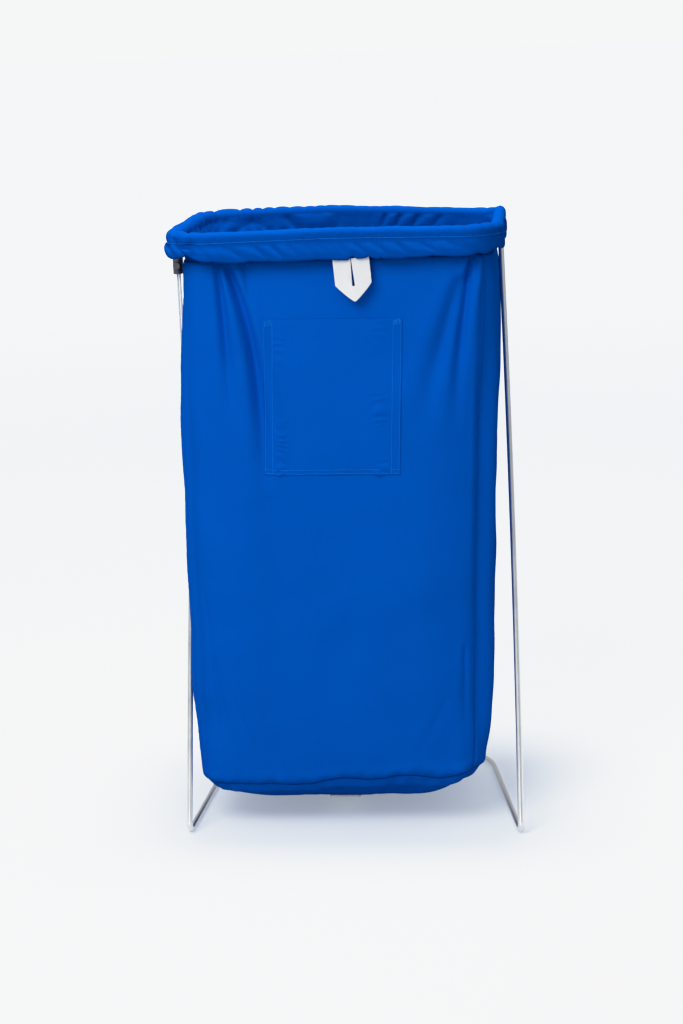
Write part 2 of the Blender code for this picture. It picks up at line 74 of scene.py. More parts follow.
# ================================================================= the cloth's own shape
CLOTH = 0.0007                  # thickness of the cloth
CLOTH_PITCH = 0.0042            # spacing of the cloth's grid
FRONT_PITCH = 0.0022            # the same across the front, which has the finest folds
HEM_INNER = 0.0068              # inner leaf, inboard of the wire's centre line
HEM_OUTER = 0.0120              # band, outboard of the wire's centre line
BAG_SHAPE_Z = 0.30              # the walls start to draw in below this height
LOW_CORNER_R = 0.032
SEAM_Z = WALL_LOW.z + 0.0045    # bottom seam, at mid width
SEAM_TILT = 0.0085              # how much higher the seam runs at the right than at mid width
SEAM_WAVE = 0.0034
LOW_OUT = 0.0085                # how much further out the bottom seam lies than the rigid panel's
LOW_SHIFT = -0.0045             # the bottom sags towards the left
BELLY = 0.0086                  # how far each side wall swells beyond the hoop's width
BELLY_PEAK = 0.29               # share of the way down where it swells most
LEAN = -0.0225                  # the bag hangs plumb while the stand leans: sideways shift
LEAN_LENGTH = 0.30
LEAN_START = 0.004
FRONT_BELLY = 0.005
LEG_TOP_Y = 0.0904              # the legs meet the hoop here, and lean forwards down to the feet
LEG_BOW = 0.003
LEG_CLEARANCE = 0.0016
FRONT_LEFT_SEAM = 7.15          # this seam has crept round the corner, out of sight from the front
CORNER_SEAMS = (FRONT_LEFT_SEAM - 8, 1.5, 3.5, 5.5, FRONT_LEFT_SEAM)   # the first seam twice
SEAM_VALLEY = 0.0018
SEAM_VALLEY_WIDTH = 0.0026

# Gathering of the hem round the hoop: a depth at each place from 0 to 8.
GATHER_PLACES = (0.0, 0.10, 0.8, 1.0, 1.5, 2.0, 3.0, 4.0, 4.35, 4.6, 5.0, 6.0, 7.0, 7.6, 8.0)
GATHER_DEPTHS = (0.8, 0.4, 0.5, 0.9, 2.0, 2.2, 1.4, 0.6, 0.5, 1.0, 3.6, 5.6, 5.4, 3.8, 0.8)
MILLIMETRE = 0.001
GATHER_COUNTS = (0, 22, 26, 40, 44, 61, 64, 71, 74)   # lumps passed on reaching each place
INNER_LEAF_PLEATS = 0.0038      # least depth of the pleats seen inside the mouth
# Share of the band's drop, and of its thickness outboard of the wire, at places from 0 to 8.
BAND_PLACES = (0.0, 0.06, 0.3, 0.5, 0.9, 1.2, 2.0, 3.0, 4.5, 5.3, 6.0, 7.0, 7.7, 8.0)
BAND_DROPS = (0.95, 0.98, 1.0, 1.0, 0.98, 0.88, 0.80, 0.78, 0.85, 0.78, 0.72, 0.66, 0.78, 0.95)
BAND_REACHES = (0.90, 0.90, 0.9, 0.9, 0.85, 0.45, 0.25, 0.35, 0.60, 0.80, 0.80, 0.75, 0.95, 0.90)
# Height of the wire off its plane, and of the cloth off the wire, at places from 0 to 8.
WARP_PLACES = (0.0, 0.5, 1.0, 3.0, 3.6, 4.0, 4.3, 4.6, 5.0, 6.0, 8.0)
WIRE_WARPS = (0.0, 1.0, 0.0, 0.0, -3.0, -3.0, -0.5, 1.5, 0.5, 0.0, 0.0)
CLOTH_RISES = (0.0, 1.6, 0.3, 0.0, -2.0, -2.0, 0.2, 2.0, 0.8, 0.0, 0.0)
# Share of the inward pull of the gathered left side, at places from 0 to 8.
PULL_PLACES = (0.0, 0.3, 4.6, 5.2, 7.5, 8.0)
PULL_SHARES = (0.45, 0.0, 0.0, 1.0, 1.0, 0.45)
PULL_STEADY = 0.0034
PULL_TOP = 0.0030
PULL_TOP_LENGTH = 0.06
PULL_LOW = 0.0036
LOCK_TRAVEL = 0.166             # way of the cord lock down its cord
LOCK_CLEARANCE = 0.0010
ROUND_RIGHT = 0.0150            # how far the front turns back towards its sides
ROUND_LEFT = 0.0100
LEAF_IN = 0.0018                # the hem's leaf is sewn to the inside of the wall's upper edge
LEAF_OVERLAP = 0.0065
CORNER_NOTCH = 0.0050           # deep crease where the band turns the front left corner
CORNER_NOTCH_PLACE = 7.74

# Drape folds of the front: x and z at the top, x and z at the foot, width, depth, curve.
# A negative depth makes a ridge; a curve above 1 makes the fold turn downright sooner.
FRONT_FOLDS = (
    (-0.1467, 0.770, -0.1370, 0.540, 0.0050, 0.0078, 2.6),
    (-0.1415, 0.770, -0.0970, 0.400, 0.0068, 0.0118, 4.2),
    (-0.1133, 0.770, -0.1020, 0.670, 0.0040, 0.0028, 1.5),
    (0.1760, 0.770, 0.1460, 0.520, 0.0056, 0.0092, 1.8),
    (0.1640, 0.745, 0.0970, 0.500, 0.0105, 0.0064, 1.3),
    (0.1810, 0.790, 0.1580, 0.090, 0.0060, -0.0018, 1.0),
    (0.1300, 0.190, 0.0750, 0.085, 0.0052, 0.0008, 1.0),
    (0.1530, 0.260, 0.1490, 0.095, 0.0050, 0.0020, 1.0),
    (-0.1640, 0.210, -0.1120, 0.075, 0.0048, 0.0010, 1.0),
    (-0.1880, 0.330, -0.1700, 0.120, 0.0050, 0.0018, 1.0),
    (-0.1780, 0.250, -0.1600, 0.085, 0.0045, 0.0016, 1.0),
    (0.0200, 0.330, -0.0500, 0.120, 0.0200, 0.0012, 1.0),
    (-0.0900, 0.470, -0.0750, 0.180, 0.0160, 0.0022, 1.0),
)


# ================================================================= closed outlines
class Ring:
    """Rounded rectangle seen from above; places 0 to 8 run anticlockwise from front left."""

    def __init__(self, half_width, front, rear, corner_r, bow=0.0):
        self.half_width = half_width
        self.front = front
        self.rear = rear
        self.corner_r = corner_r
        self.bow = bow

    def grown(self, distance):
        return Ring(
            self.half_width + distance,
            self.front - distance,
            self.rear + distance,
            self.corner_r + distance,
            self.bow,
        )

    def xy(self, place):
        place = np.mod(place, 8.0)
        run = np.minimum(np.floor(place).astype(int), 7)
        part = place - run
        side = run // 2
        ix = self.half_width - self.corner_r
        fy = self.front + self.corner_r
        ry = self.rear - self.corner_r
        starts = np.array([(-ix, self.front), (self.half_width, fy),
                           (ix, self.rear), (-self.half_width, ry)])
        ends = np.array([(ix, self.front), (self.half_width, ry),
                         (-ix, self.rear), (-self.half_width, fy)])
        centres = np.array([(ix, fy), (ix, ry), (-ix, ry), (-ix, fy)])
        angle = (side - 1 + part) * math.pi / 2
        turn = np.stack([np.cos(angle), np.sin(angle)], -1)
        straight = starts[side] + (ends[side] - starts[side]) * part[..., None]
        found = np.where((run % 2 == 0)[..., None], straight, centres[side] + turn * self.corner_r)
        x, y = found[..., 0], found[..., 1]
        across = 1.0 - (x / self.half_width) ** 2
        y = y + np.where(y > 0, self.bow * across * (y / self.rear) ** 2, 0.0)
        return x, y


def outward(place):
    """Unit outward direction of every ring at a place, seen from above."""
    place = np.mod(place, 8.0)
    run = np.minimum(np.floor(place).astype(int), 7)
    part = np.where(run % 2 == 0, 0.0, place - run)
    angle = (run // 2 - 1 + part) * math.pi / 2
    return np.cos(angle), np.sin(angle)


HOOP = Ring(
    HOOP_HIGH.x - WIRE_R,
    HOOP_LOW.y + WIRE_R,
    HOOP_HIGH.y - WIRE_R - REAR_BOW,
    HOOP_CORNER_R,
    REAR_BOW,
)
BAG_TOP = HOOP.grown(-HEM_INNER)
BAG_LOW = Ring(BOTTOM_HIGH.x, BOTTOM_LOW.y, BOTTOM_HIGH.y, LOW_CORNER_R).grown(LOW_OUT)

RUN_LENGTHS = (
    2 * (BAG_TOP.half_width - BAG_TOP.corner_r),
    BAG_TOP.corner_r * math.pi / 2,
    BAG_TOP.rear - BAG_TOP.front - 2 * BAG_TOP.corner_r,
    BAG_TOP.corner_r * math.pi / 2,
) * 2
GIRTH = sum(RUN_LENGTHS)
PLACE_MARKS = np.arange(-1, 10)
ARC_MARKS = np.concatenate([[0.0], np.cumsum([RUN_LENGTHS[(m - 1) % 8] for m in range(0, 10)])])
ARC_MARKS = ARC_MARKS - RUN_LENGTHS[7]


def arc_of(place):
    return np.interp(place, PLACE_MARKS, ARC_MARKS)


def place_of(arc):
    return np.interp(arc, ARC_MARKS, PLACE_MARKS)


def around(table_places, table_values, place):
    return np.interp(np.mod(place, 8.0), table_places, table_values)


# ================================================================= smooth irregularity
def ripple(points, size, seed, waves=7):
    """Smooth irregular values of about -1 to 1 at 3-D points; the same on every run."""
    draw = np.random.default_rng(seed)
    total = np.zeros(points.shape[:-1])
    for _ in range(waves):
        way = draw.normal(size=3)
        way *= 2 * math.pi / (np.linalg.norm(way) * size * draw.uniform(0.7, 1.5))
        total += np.sin(points @ way + draw.uniform(0, 2 * math.pi))
    return total / math.sqrt(waves)


def smooth(value):
    value = np.clip(value, 0.0, 1.0)
    return value * value * (3.0 - 2.0 * value)


def stacked(x, y, z):
    return np.stack(np.broadcast_arrays(x, y, z), -1)


def gather_depth(place):
    return around(GATHER_PLACES, GATHER_DEPTHS, place) * MILLIMETRE


def wire_z(place):
    """Height of the hoop's wire, which is not quite flat."""
    return HOOP_Z + around(WARP_PLACES, WIRE_WARPS, place) * MILLIMETRE


def gather_lumps(place, slant):
    """Rounded lumps with sharp valleys between them, 0 to 1, irregular round the hem."""
    x, y = HOOP.xy(place)
    points = stacked(x, y, 0.0 * x)
    passed = np.interp(np.mod(place, 8.0), np.arange(9), GATHER_COUNTS)
    phase = passed * math.pi + slant + 1.9 * ripple(points, 0.085, 11)
    return np.abs(np.sin(phase)) ** 0.55


# ================================================================= wall of the bag
def seam_z(place):
    """Height of the wavy bottom seam."""
    x, y = BAG_LOW.xy(place)
    wave = ripple(stacked(x, y, 0.0 * x), 0.085, 5)
    return SEAM_Z + SEAM_TILT * x / BAG_LOW.half_width + SEAM_WAVE * wave


def fold_depth(x, z):
    """Depth of the front's drape folds at final x and z."""
    depth = np.zeros(np.broadcast(x, z).shape)
    for top_x, top_z, low_x, low_z, width, deep, curve in FRONT_FOLDS:
        down = np.clip((top_z - z) / (top_z - low_z), 0.0, 1.0)
        line = top_x + (low_x - top_x) * (1.0 - (1.0 - down) ** curve)
        spread = width * (0.75 + 0.9 * down)
        across = (x - line) / spread
        fade = smooth((1.0 - down) * 1.5) * smooth(down * 14.0)
        depth += deep * fade * np.exp(-across ** 2)
        depth -= 0.22 * deep * fade * np.exp(-((np.abs(across) - 2.1) / 1.1) ** 2)
    return depth


def seam_depth(place, z, points):
    """Valley and puckers along the corner seams and the bottom seam."""
    depth = np.zeros(points.shape[:-1])
    arc = arc_of(place)
    for seam in CORNER_SEAMS:
        off = np.abs(arc - arc_of(seam))
        pucker = 0.7 + 0.5 * np.sin(z * 2 * math.pi / 0.013 + 3 * ripple(points, 0.05, 21))
        valley = SEAM_VALLEY * (0.15 + 0.85 * smooth((0.34 - z) / 0.22))
        depth += valley * np.exp(-(off / SEAM_VALLEY_WIDTH) ** 2)
        depth += 0.0006 * pucker * np.exp(-(off / 0.009) ** 2)
    above = z - seam_z(place)
    depth += 0.0036 * np.exp(-(above / 0.0030) ** 2)
    depth -= 0.0016 * np.exp(-((above - 0.011) / 0.007) ** 2)
    depth += 0.0011 * ripple(points, 0.022, 22) * np.exp(-(above / 0.016) ** 2)
    return depth


def lean_at(z):
    """Sideways shift of the hanging bag at a height."""
    hang = np.maximum(0.0, WALL_HIGH.z - z)
    return LEAN_START * smooth(hang / 0.05) + LEAN * (1.0 - np.exp(-hang / LEAN_LENGTH))


def leg_line(z):
    """Outward distance of the leg's wire at a height, and its y."""
    share = (LEG_HIGH.z - z) / (LEG_HIGH.z - LEG_LOW.z)
    x = HOOP.half_width + (LEG_HIGH.x - WIRE_R - HOOP.half_width) * share
    x = x + LEG_BOW * 4 * share * (1 - share)
    y = LEG_TOP_Y + (HOOP.front - LEG_TOP_Y) * share
    return x, y


def pull_in(place, z):
    """Inward pull of the gathered left side."""
    hang = WALL_HIGH.z - z
    amount = PULL_STEADY + PULL_TOP * np.exp(-hang / PULL_TOP_LENGTH)
    amount = amount + PULL_LOW * smooth((0.20 - z) / 0.06)
    return around(PULL_PLACES, PULL_SHARES, place) * amount


def wall_points(place, z, lift=0.0):
    """Middle of the wall's cloth at a place and a height, lifted outwards by lift."""
    top_x, top_y = BAG_TOP.xy(place)
    low_x, low_y = BAG_LOW.xy(place)
    foot = seam_z(place)
    fall = np.clip((BAG_SHAPE_Z - z) / (BAG_SHAPE_Z - foot), 0.0, 1.0)
    power = 9.5 - 4.5 * top_x / BAG_TOP.half_width
    draw = fall ** power
    x = top_x + (low_x + LOW_SHIFT - top_x) * draw
    y = top_y + (low_y - top_y) * draw
    down = np.clip((WALL_HIGH.z - z) / (WALL_HIGH.z - SEAM_Z), 0.0, 1.0)
    swell = down / BELLY_PEAK * np.exp(1.0 - down / BELLY_PEAK)
    x = x * (1.0 + BELLY * swell / BAG_TOP.half_width)
    x = x + lean_at(z)
    out_x, out_y = outward(place)
    rest = stacked(x, y, z)
    depth = fold_depth(x, z) * smooth(-out_y * 1.6)
    depth = depth + seam_depth(place, z, rest) + front_rounding(top_x, out_y, down)
    hang = np.exp(-(WALL_HIGH.z - z) / 0.050)
    slant = (WALL_HIGH.z - z) * 6.0
    depth = depth + side_share(out_y) * gather_depth(place) * hang * (0.5 - gather_lumps(place, slant))
    settle = smooth(down * 9.0) * smooth((1.0 - down) * 9.0)
    depth = depth + settle * (0.0011 * ripple(rest, 0.16, 31) + 0.0005 * ripple(rest, 0.07, 32))
    flat_x = 1.0 - np.clip(np.abs(top_x) / BAG_TOP.half_width, 0, 1) ** 2
    belly = FRONT_BELLY * flat_x * np.sin(math.pi * down) * np.abs(out_y)
    step = lift + belly - depth - pull_in(place, z)
    x = x + out_x * step
    y = y + out_y * step
    leg_x, leg_y = leg_line(z)
    keep = leg_x - WIRE_R - LEG_CLEARANCE + 0.004 * ((y - leg_y) / 0.030) ** 2
    x = np.maximum(x, -keep)
    x = np.maximum(x, -lock_way(y, z))
    return stacked(x, y, z)


def front_rounding(top_x, out_y, down):
    """How far the front's outer thirds turn back, more at the right than at the left."""
    share = top_x / BAG_TOP.half_width
    turned = np.where(share > 0, ROUND_RIGHT, ROUND_LEFT) * smooth((np.abs(share) - 0.52) / 0.48)
    return turned * smooth(-out_y * 1.6) * smooth(down * 3.2) * smooth((1.0 - down) * 7.0)


def side_share(out_y):
    """Share of the gathers that runs on down into the wall, least on the front."""
    return 0.20 + 0.80 * smooth(0.9 + 2.0 * out_y)


def lock_way(y, z):
    """How far the left side may reach out, pressed in where the cord lock slides down."""
    middle = (LOCK_LOW.y + LOCK_HIGH.y) / 2
    half = (LOCK_HIGH.y - LOCK_LOW.y) / 2 + LOCK_CLEARANCE
    beside = np.maximum(0.0, np.abs(y - middle) - half) / 0.020
    below = np.maximum(0.0, LOCK_LOW.z - LOCK_TRAVEL - 0.004 - z) / 0.040
    return -LOCK_HIGH.x - LOCK_CLEARANCE + 0.008 * (beside ** 2 + below ** 2)


def front_place(x, z):
    """Place on the front wall whose cloth lies at x."""
    down = np.clip((WALL_HIGH.z - z) / (WALL_HIGH.z - SEAM_Z), 0.0, 1.0)
    swell = down / BELLY_PEAK * np.exp(1.0 - down / BELLY_PEAK)
    x = (x - lean_at(z)) / (1.0 + BELLY * swell / BAG_TOP.half_width)
    inner = BAG_TOP.half_width - BAG_TOP.corner_r
    return (x + inner) / (2 * inner)


# ================================================================= mesh helpers
def mesh_object(name, verts, faces, uvs=None, smooth_shading=True):
    """verts is an array, faces a list or array; uvs holds one pair for each face corner."""
    mesh = bpy.data.meshes.new(name)
    mesh.from_pydata([tuple(v) for v in verts], [], [tuple(f) for f in faces])
    if uvs is not None:
        layer = mesh.uv_layers.new(name="UVMap")
        layer.data.foreach_set("uv", np.asarray(uvs, np.float32).ravel())
    if smooth_shading:
        mesh.shade_smooth()
    mesh.update()
    made = bpy.data.objects.new(name, mesh)
    bpy.context.scene.collection.objects.link(made)
    return made


def grid_faces(rows, columns, wrap):
    lower = np.arange(rows - 1)[:, None] * columns
    across = np.arange(columns if wrap else columns - 1)[None, :]
    after = (across + 1) % columns
    quads = np.stack([lower + across, lower + after,
                      lower + columns + after, lower + columns + across], -1)
    return quads.reshape(-1, 4)


def grid_object(name, points, u, v, wrap=False):
    """Quads over a grid of points (rows, columns, 3); u and v are lengths along the cloth."""
    rows, columns = points.shape[:2]
    faces = grid_faces(rows, columns, wrap)
    width = columns if wrap else columns - 1
    r = np.repeat(np.arange(rows - 1), width)
    c = np.tile(np.arange(width), rows - 1)
    corners = ((r, c), (r, c + 1), (r + 1, c + 1), (r + 1, c))
    uvs = np.stack([np.stack([u[i, j], v[i, j]], -1) for i, j in corners], 1)
    return mesh_object(name, points.reshape(-1, 3), faces, uvs.reshape(-1, 2))


def solidify(piece, thickness, offset=0.0):
    modifier = piece.modifiers.new("Thickness", "SOLIDIFY")
    modifier.thickness = thickness
    modifier.offset = offset
    return piece


def transport(path, closed=False):
    """Tangents and two steady cross directions along a path."""
    if closed:
        tangent = np.roll(path, -1, 0) - np.roll(path, 1, 0)
    else:
        tangent = np.gradient(path, axis=0)
    tangent /= np.linalg.norm(tangent, axis=1)[:, None]
    first = np.cross(tangent[0], (0.0, 0.0, 1.0))
    if np.linalg.norm(first) < 0.2:
        first = np.cross(tangent[0], (0.0, 1.0, 0.0))
    side = np.zeros_like(path)
    side[0] = first / np.linalg.norm(first)
    for index in range(1, len(path)):
        carried = side[index - 1] - tangent[index] * (side[index - 1] @ tangent[index])
        side[index] = carried / np.linalg.norm(carried)
    return tangent, side, np.cross(tangent, side)


def tube(path, radii, sides, closed=False):
    """Round section along a path: vertices, faces and (u, v) for each face corner."""
    path = np.asarray(path, float)
    radii = np.broadcast_to(radii, (len(path),))
    _, side, up = transport(path, closed)
    angle = np.arange(sides) * 2 * math.pi / sides
    ring = side[:, None] * np.cos(angle)[None, :, None] + up[:, None] * np.sin(angle)[None, :, None]
    verts = (path[:, None] + ring * radii[:, None, None]).reshape(-1, 3)
    along = np.concatenate([[0.0], np.cumsum(np.linalg.norm(np.diff(path, axis=0), axis=1))])
    faces = [tuple(f) for f in grid_faces(len(path), sides, True)]
    r = np.repeat(np.arange(len(path) - 1), sides)
    c = np.tile(np.arange(sides), len(path) - 1)
    around_u = angle.tolist() + [2 * math.pi]
    around_u = np.array(around_u) * float(np.mean(radii))
    corner = ((r, c), (r, c + 1), (r + 1, c + 1), (r + 1, c))
    uvs = np.stack([np.stack([around_u[j], along[i]], -1) for i, j in corner], 1).reshape(-1, 2)
    if closed:
        last = (len(path) - 1) * sides
        for k in range(sides):
            faces.append((last + k, last + (k + 1) % sides, (k + 1) % sides, k))
            uvs = np.concatenate([uvs, np.zeros((4, 2))])
    else:
        faces.append(tuple(reversed(range(sides))))
        faces.append(tuple((len(path) - 1) * sides + k for k in range(sides)))
        uvs = np.concatenate([uvs, np.zeros((2 * sides, 2))])
    return verts, faces, uvs


def joined(name, parts):
    """One object from several (verts, faces, uvs) parts."""
    verts, faces, uvs, base = [], [], [], 0
    for part_verts, part_faces, part_uvs in parts:
        verts.append(part_verts)
        faces += [tuple(index + base for index in face) for face in part_faces]
        uvs.append(part_uvs)
        base += len(part_verts)
    return mesh_object(name, np.concatenate(verts), faces, np.concatenate(uvs))


def rounded_path(corners, pitch=0.0015):
    """Path through (point, radius) corners, each corner an arc, with about even steps."""
    path = []
    last = len(corners) - 1
    for index, (point, radius) in enumerate(corners):
        here = Vector(point)
        if radius <= 0.0 or index in (0, last):
            path.append(here)
            continue
        back = (Vector(corners[index - 1][0]) - here).normalized()
        ahead = (Vector(corners[index + 1][0]) - here).normalized()
        half = back.angle(ahead) / 2
        centre = here + (back + ahead).normalized() * (radius / math.sin(half))
        reach = radius / math.tan(half)
        spoke_a = (here + back * reach - centre).normalized()
        spoke_b = (here + ahead * reach - centre).normalized()
        steps = max(4, int(radius * spoke_a.angle(spoke_b) / pitch))
        for step in range(steps + 1):
            path.append(centre + spoke_a.slerp(spoke_b, step / steps) * radius)
    return np.array([tuple(p) for p in path])


def resampled(path, pitch):
    """The same polyline with even steps."""
    along = np.concatenate([[0.0], np.cumsum(np.linalg.norm(np.diff(path, axis=0), axis=1))])
    count = max(2, int(round(along[-1] / pitch)) + 1)
    marks = np.linspace(0, along[-1], count)
    return np.stack([np.interp(marks, along, path[:, k]) for k in range(3)], -1)


def stitch_row(path, outs, pitch=0.0032, length=0.0024, radius=0.00028, sides=6):
    """Short raised threads along a path, each dipping into the cloth at both ends."""
    along = np.concatenate([[0.0], np.cumsum(np.linalg.norm(np.diff(path, axis=0), axis=1))])
    parts = []
    for centre in np.arange(pitch / 2, along[-1], pitch):
        marks = centre + length * np.array([-0.5, -0.3, 0.0, 0.3, 0.5])
        marks = np.clip(marks, 0.0, along[-1])
        points = np.stack([np.interp(marks, along, path[:, k]) for k in range(3)], -1)
        rise = np.stack([np.interp(marks, along, outs[:, k]) for k in range(3)], -1)
        height = np.array([-0.7, 0.5, 0.8, 0.5, -0.7]) * radius
        if np.linalg.norm(points[-1] - points[0]) < length / 2:
            continue
        parts.append(tube(points + rise * height[:, None], radius, sides))
    return parts


# ================================================================= materials
def new_material(name):
    made = bpy.data.materials.new(name)
    made.use_nodes = True
    return made, made.node_tree, made.node_tree.nodes["Principled BSDF"]


class Nodes:
    """Short way to add and join shader nodes."""

    def __init__(self, tree):
        self.tree = tree

    def add(self, kind, inputs=None, **settings):
        node = self.tree.nodes.new(kind)
        for key, value in settings.items():
            setattr(node, key, value)
        for key, value in (inputs or {}).items():
            if isinstance(value, bpy.types.NodeSocket):
                self.tree.links.new(value, node.inputs[key])
            else:
                node.inputs[key].default_value = value
        return node

    def math(self, operation, a, b=0.0):
        return self.add("ShaderNodeMath", {0: a, 1: b}, operation=operation).outputs[0]

    def noise(self, vector, scale, detail=3.0, roughness=0.5):
        inputs = {"Vector": vector, "Scale": scale, "Detail": detail, "Roughness": roughness}
        return self.add("ShaderNodeTexNoise", inputs).outputs["Fac"]

    def wave(self, vector, per_metre, direction):
        """Sine bands, per_metre of them along U (X) or V (Y)."""
        inputs = {"Vector": vector, "Scale": per_metre * math.pi / 10 / 1.0}
        node = self.add("ShaderNodeTexWave", inputs, bands_direction=direction)
        return node.outputs["Fac"]

    def blend(self, factor, a, b):
        node = self.add("ShaderNodeMix", data_type="RGBA")
        for socket, value in ((node.inputs[0], factor), (node.inputs[6], a), (node.inputs[7], b)):
            if isinstance(value, bpy.types.NodeSocket):
                self.tree.links.new(value, socket)
            else:
                socket.default_value = value
        return node.outputs[2]

    def remap(self, value, low, high, to_low, to_high):
        inputs = {0: value, 1: low, 2: high, 3: to_low, 4: to_high}
        return self.add("ShaderNodeMapRange", inputs).outputs[0]

    def bump(self, height, strength, distance, normal=None):
        inputs = {"Height": height, "Strength": strength, "Distance": distance}
        if normal is not None:
            inputs["Normal"] = normal
        return self.add("ShaderNodeBump", inputs).outputs["Normal"]


def rgba(colour, scale=1.0):
    return (*(channel * scale for channel in colour), 1.0)


def cloth_material(name, colour, dark, sheen_tint, yarns=2300, roughness=0.66, sheen=0.10):
    """Plain-weave cloth: crossed yarns from UV lengths, slubs, soft creases, tinted sheen."""
    made, tree, shader = new_material(name)
    nodes = Nodes(tree)
    coords = nodes.add("ShaderNodeTexCoord")
    uv, place = coords.outputs["UV"], coords.outputs["Object"]
    warp = nodes.wave(uv, yarns, "X")
    weft = nodes.wave(uv, yarns, "Y")
    weave = nodes.math("ABSOLUTE", nodes.math("SUBTRACT", warp, weft))
    slub_vector = nodes.add(
        "ShaderNodeMapping", {"Vector": uv, "Scale": (900.0, 40.0, 1.0)}
    ).outputs[0]
    slub = nodes.noise(slub_vector, 1.0, 2.0)
    broad = nodes.noise(place, 9.0, 3.0)
    fine = nodes.noise(place, 140.0, 4.0, 0.6)
    tone = nodes.math("ADD", nodes.math("MULTIPLY", broad, 0.55), nodes.math("MULTIPLY", slub, 0.30))
    # Painted shade: the weave's hollows are a little darker than its raised yarns; broad patches and
    # slubs vary the tone at random.
    tone = nodes.math("ADD", tone, nodes.math("MULTIPLY", weave, 0.15))
    share = nodes.remap(tone, 0.30, 0.70, 0.0, 1.0)
    tree.links.new(nodes.blend(share, rgba(dark), rgba(colour)), shader.inputs["Base Color"])
    rough = nodes.remap(fine, 0.3, 0.7, roughness - 0.05, roughness + 0.07)
    tree.links.new(rough, shader.inputs["Roughness"])
    shader.inputs["Specular IOR Level"].default_value = 0.0
    shader.inputs["Sheen Weight"].default_value = sheen
    shader.inputs["Sheen Roughness"].default_value = 0.45
    shader.inputs["Sheen Tint"].default_value = rgba(sheen_tint)
    creases = nodes.bump(nodes.noise(place, 38.0, 3.0, 0.45), 0.25, 0.0012)
    normal = nodes.bump(fine, 0.20, 0.0002, creases)
    normal = nodes.bump(weave, 0.35, 0.00010, normal)
    tree.links.new(normal, shader.inputs["Normal"])
    return made


def steel_material(name, colour, roughness):
    """Drawn and polished wire: faint smudges, tone and gloss that change a little."""
    made, tree, shader = new_material(name)
    nodes = Nodes(tree)
    place = nodes.add("ShaderNodeTexCoord").outputs["Object"]
    smudge = nodes.noise(place, 22.0, 3.0, 0.5)
    tone = nodes.blend(nodes.remap(smudge, 0.3, 0.7, 0.0, 1.0), rgba(colour, 0.93), rgba(colour))
    tree.links.new(tone, shader.inputs["Base Color"])
    shader.inputs["Metallic"].default_value = 1.0
    rough = nodes.remap(smudge, 0.3, 0.7, roughness - 0.03, roughness + 0.05)
    tree.links.new(rough, shader.inputs["Roughness"])
    tree.links.new(nodes.bump(smudge, 0.05, 0.0004), shader.inputs["Normal"])
    return made


def webbing_material(name, colour, ribs, per_metre_across):
    """White woven tape: crossways ribs over lengthways yarns, slightly soiled; the hollows of the weave
    are darkened as painted shade.
    """
    made, tree, shader = new_material(name)
    nodes = Nodes(tree)
    coords = nodes.add("ShaderNodeTexCoord")
    uv, place = coords.outputs["UV"], coords.outputs["Object"]
    across = nodes.wave(uv, per_metre_across, "X")
    along = nodes.wave(uv, ribs, "Y")
    height = nodes.math("MULTIPLY", nodes.math("ADD", across, 0.6), nodes.math("ADD", along, 0.6))
    stain = nodes.noise(place, 45.0, 4.0, 0.6)
    share = nodes.remap(stain, 0.35, 0.75, 0.0, 1.0)
    tone = nodes.blend(share, rgba(colour), rgba(colour, 0.90))
    # Painted shade: the low parts of the weave are darkened.
    tone = nodes.blend(nodes.remap(height, 0.3, 1.6, 0.25, 0.0), tone, rgba(colour, 0.72))
    tree.links.new(tone, shader.inputs["Base Color"])
    shader.inputs["Roughness"].default_value = 0.72
    shader.inputs["Specular IOR Level"].default_value = 0.3
    shader.inputs["Sheen Weight"].default_value = 0.12
    tree.links.new(nodes.bump(height, 0.5, 0.00018), shader.inputs["Normal"])
    return made


def thread_material(name, colour):
    made, tree, shader = new_material(name)
    nodes = Nodes(tree)
    coords = nodes.add("ShaderNodeTexCoord")
    twist = nodes.wave(coords.outputs["UV"], 2600, "DIAGONAL")
    # Painted shade: the grooves of the twist are darker.
    tone = nodes.blend(twist, rgba(colour, 0.75), rgba(colour))
    tree.links.new(tone, shader.inputs["Base Color"])
    shader.inputs["Roughness"].default_value = 0.6
    shader.inputs["Specular IOR Level"].default_value = 0.0
    tree.links.new(nodes.bump(twist, 0.4, 0.00008), shader.inputs["Normal"])
    return made


def plastic_material(name, colour):
    """Moulded plastic: satin, faint grain, edges rubbed a little lighter."""
    made, tree, shader = new_material(name)
    nodes = Nodes(tree)
    place = nodes.add("ShaderNodeTexCoord").outputs["Object"]
    grain = nodes.noise(place, 1800.0, 3.0)
    mottle = nodes.noise(place, 160.0, 3.0)
    edge = nodes.add("ShaderNodeNewGeometry").outputs["Pointiness"]
    worn = nodes.remap(edge, 0.52, 0.60, 0.0, 1.0)
    tone = nodes.blend(nodes.remap(mottle, 0.3, 0.7, 0, 1), rgba(colour), rgba(colour, 1.6))
    tone = nodes.blend(worn, tone, rgba(colour, 4.0))
    tree.links.new(tone, shader.inputs["Base Color"])
    tree.links.new(nodes.remap(mottle, 0.3, 0.7, 0.34, 0.48), shader.inputs["Roughness"])
    tree.links.new(nodes.bump(grain, 0.3, 0.00006), shader.inputs["Normal"])
    return made


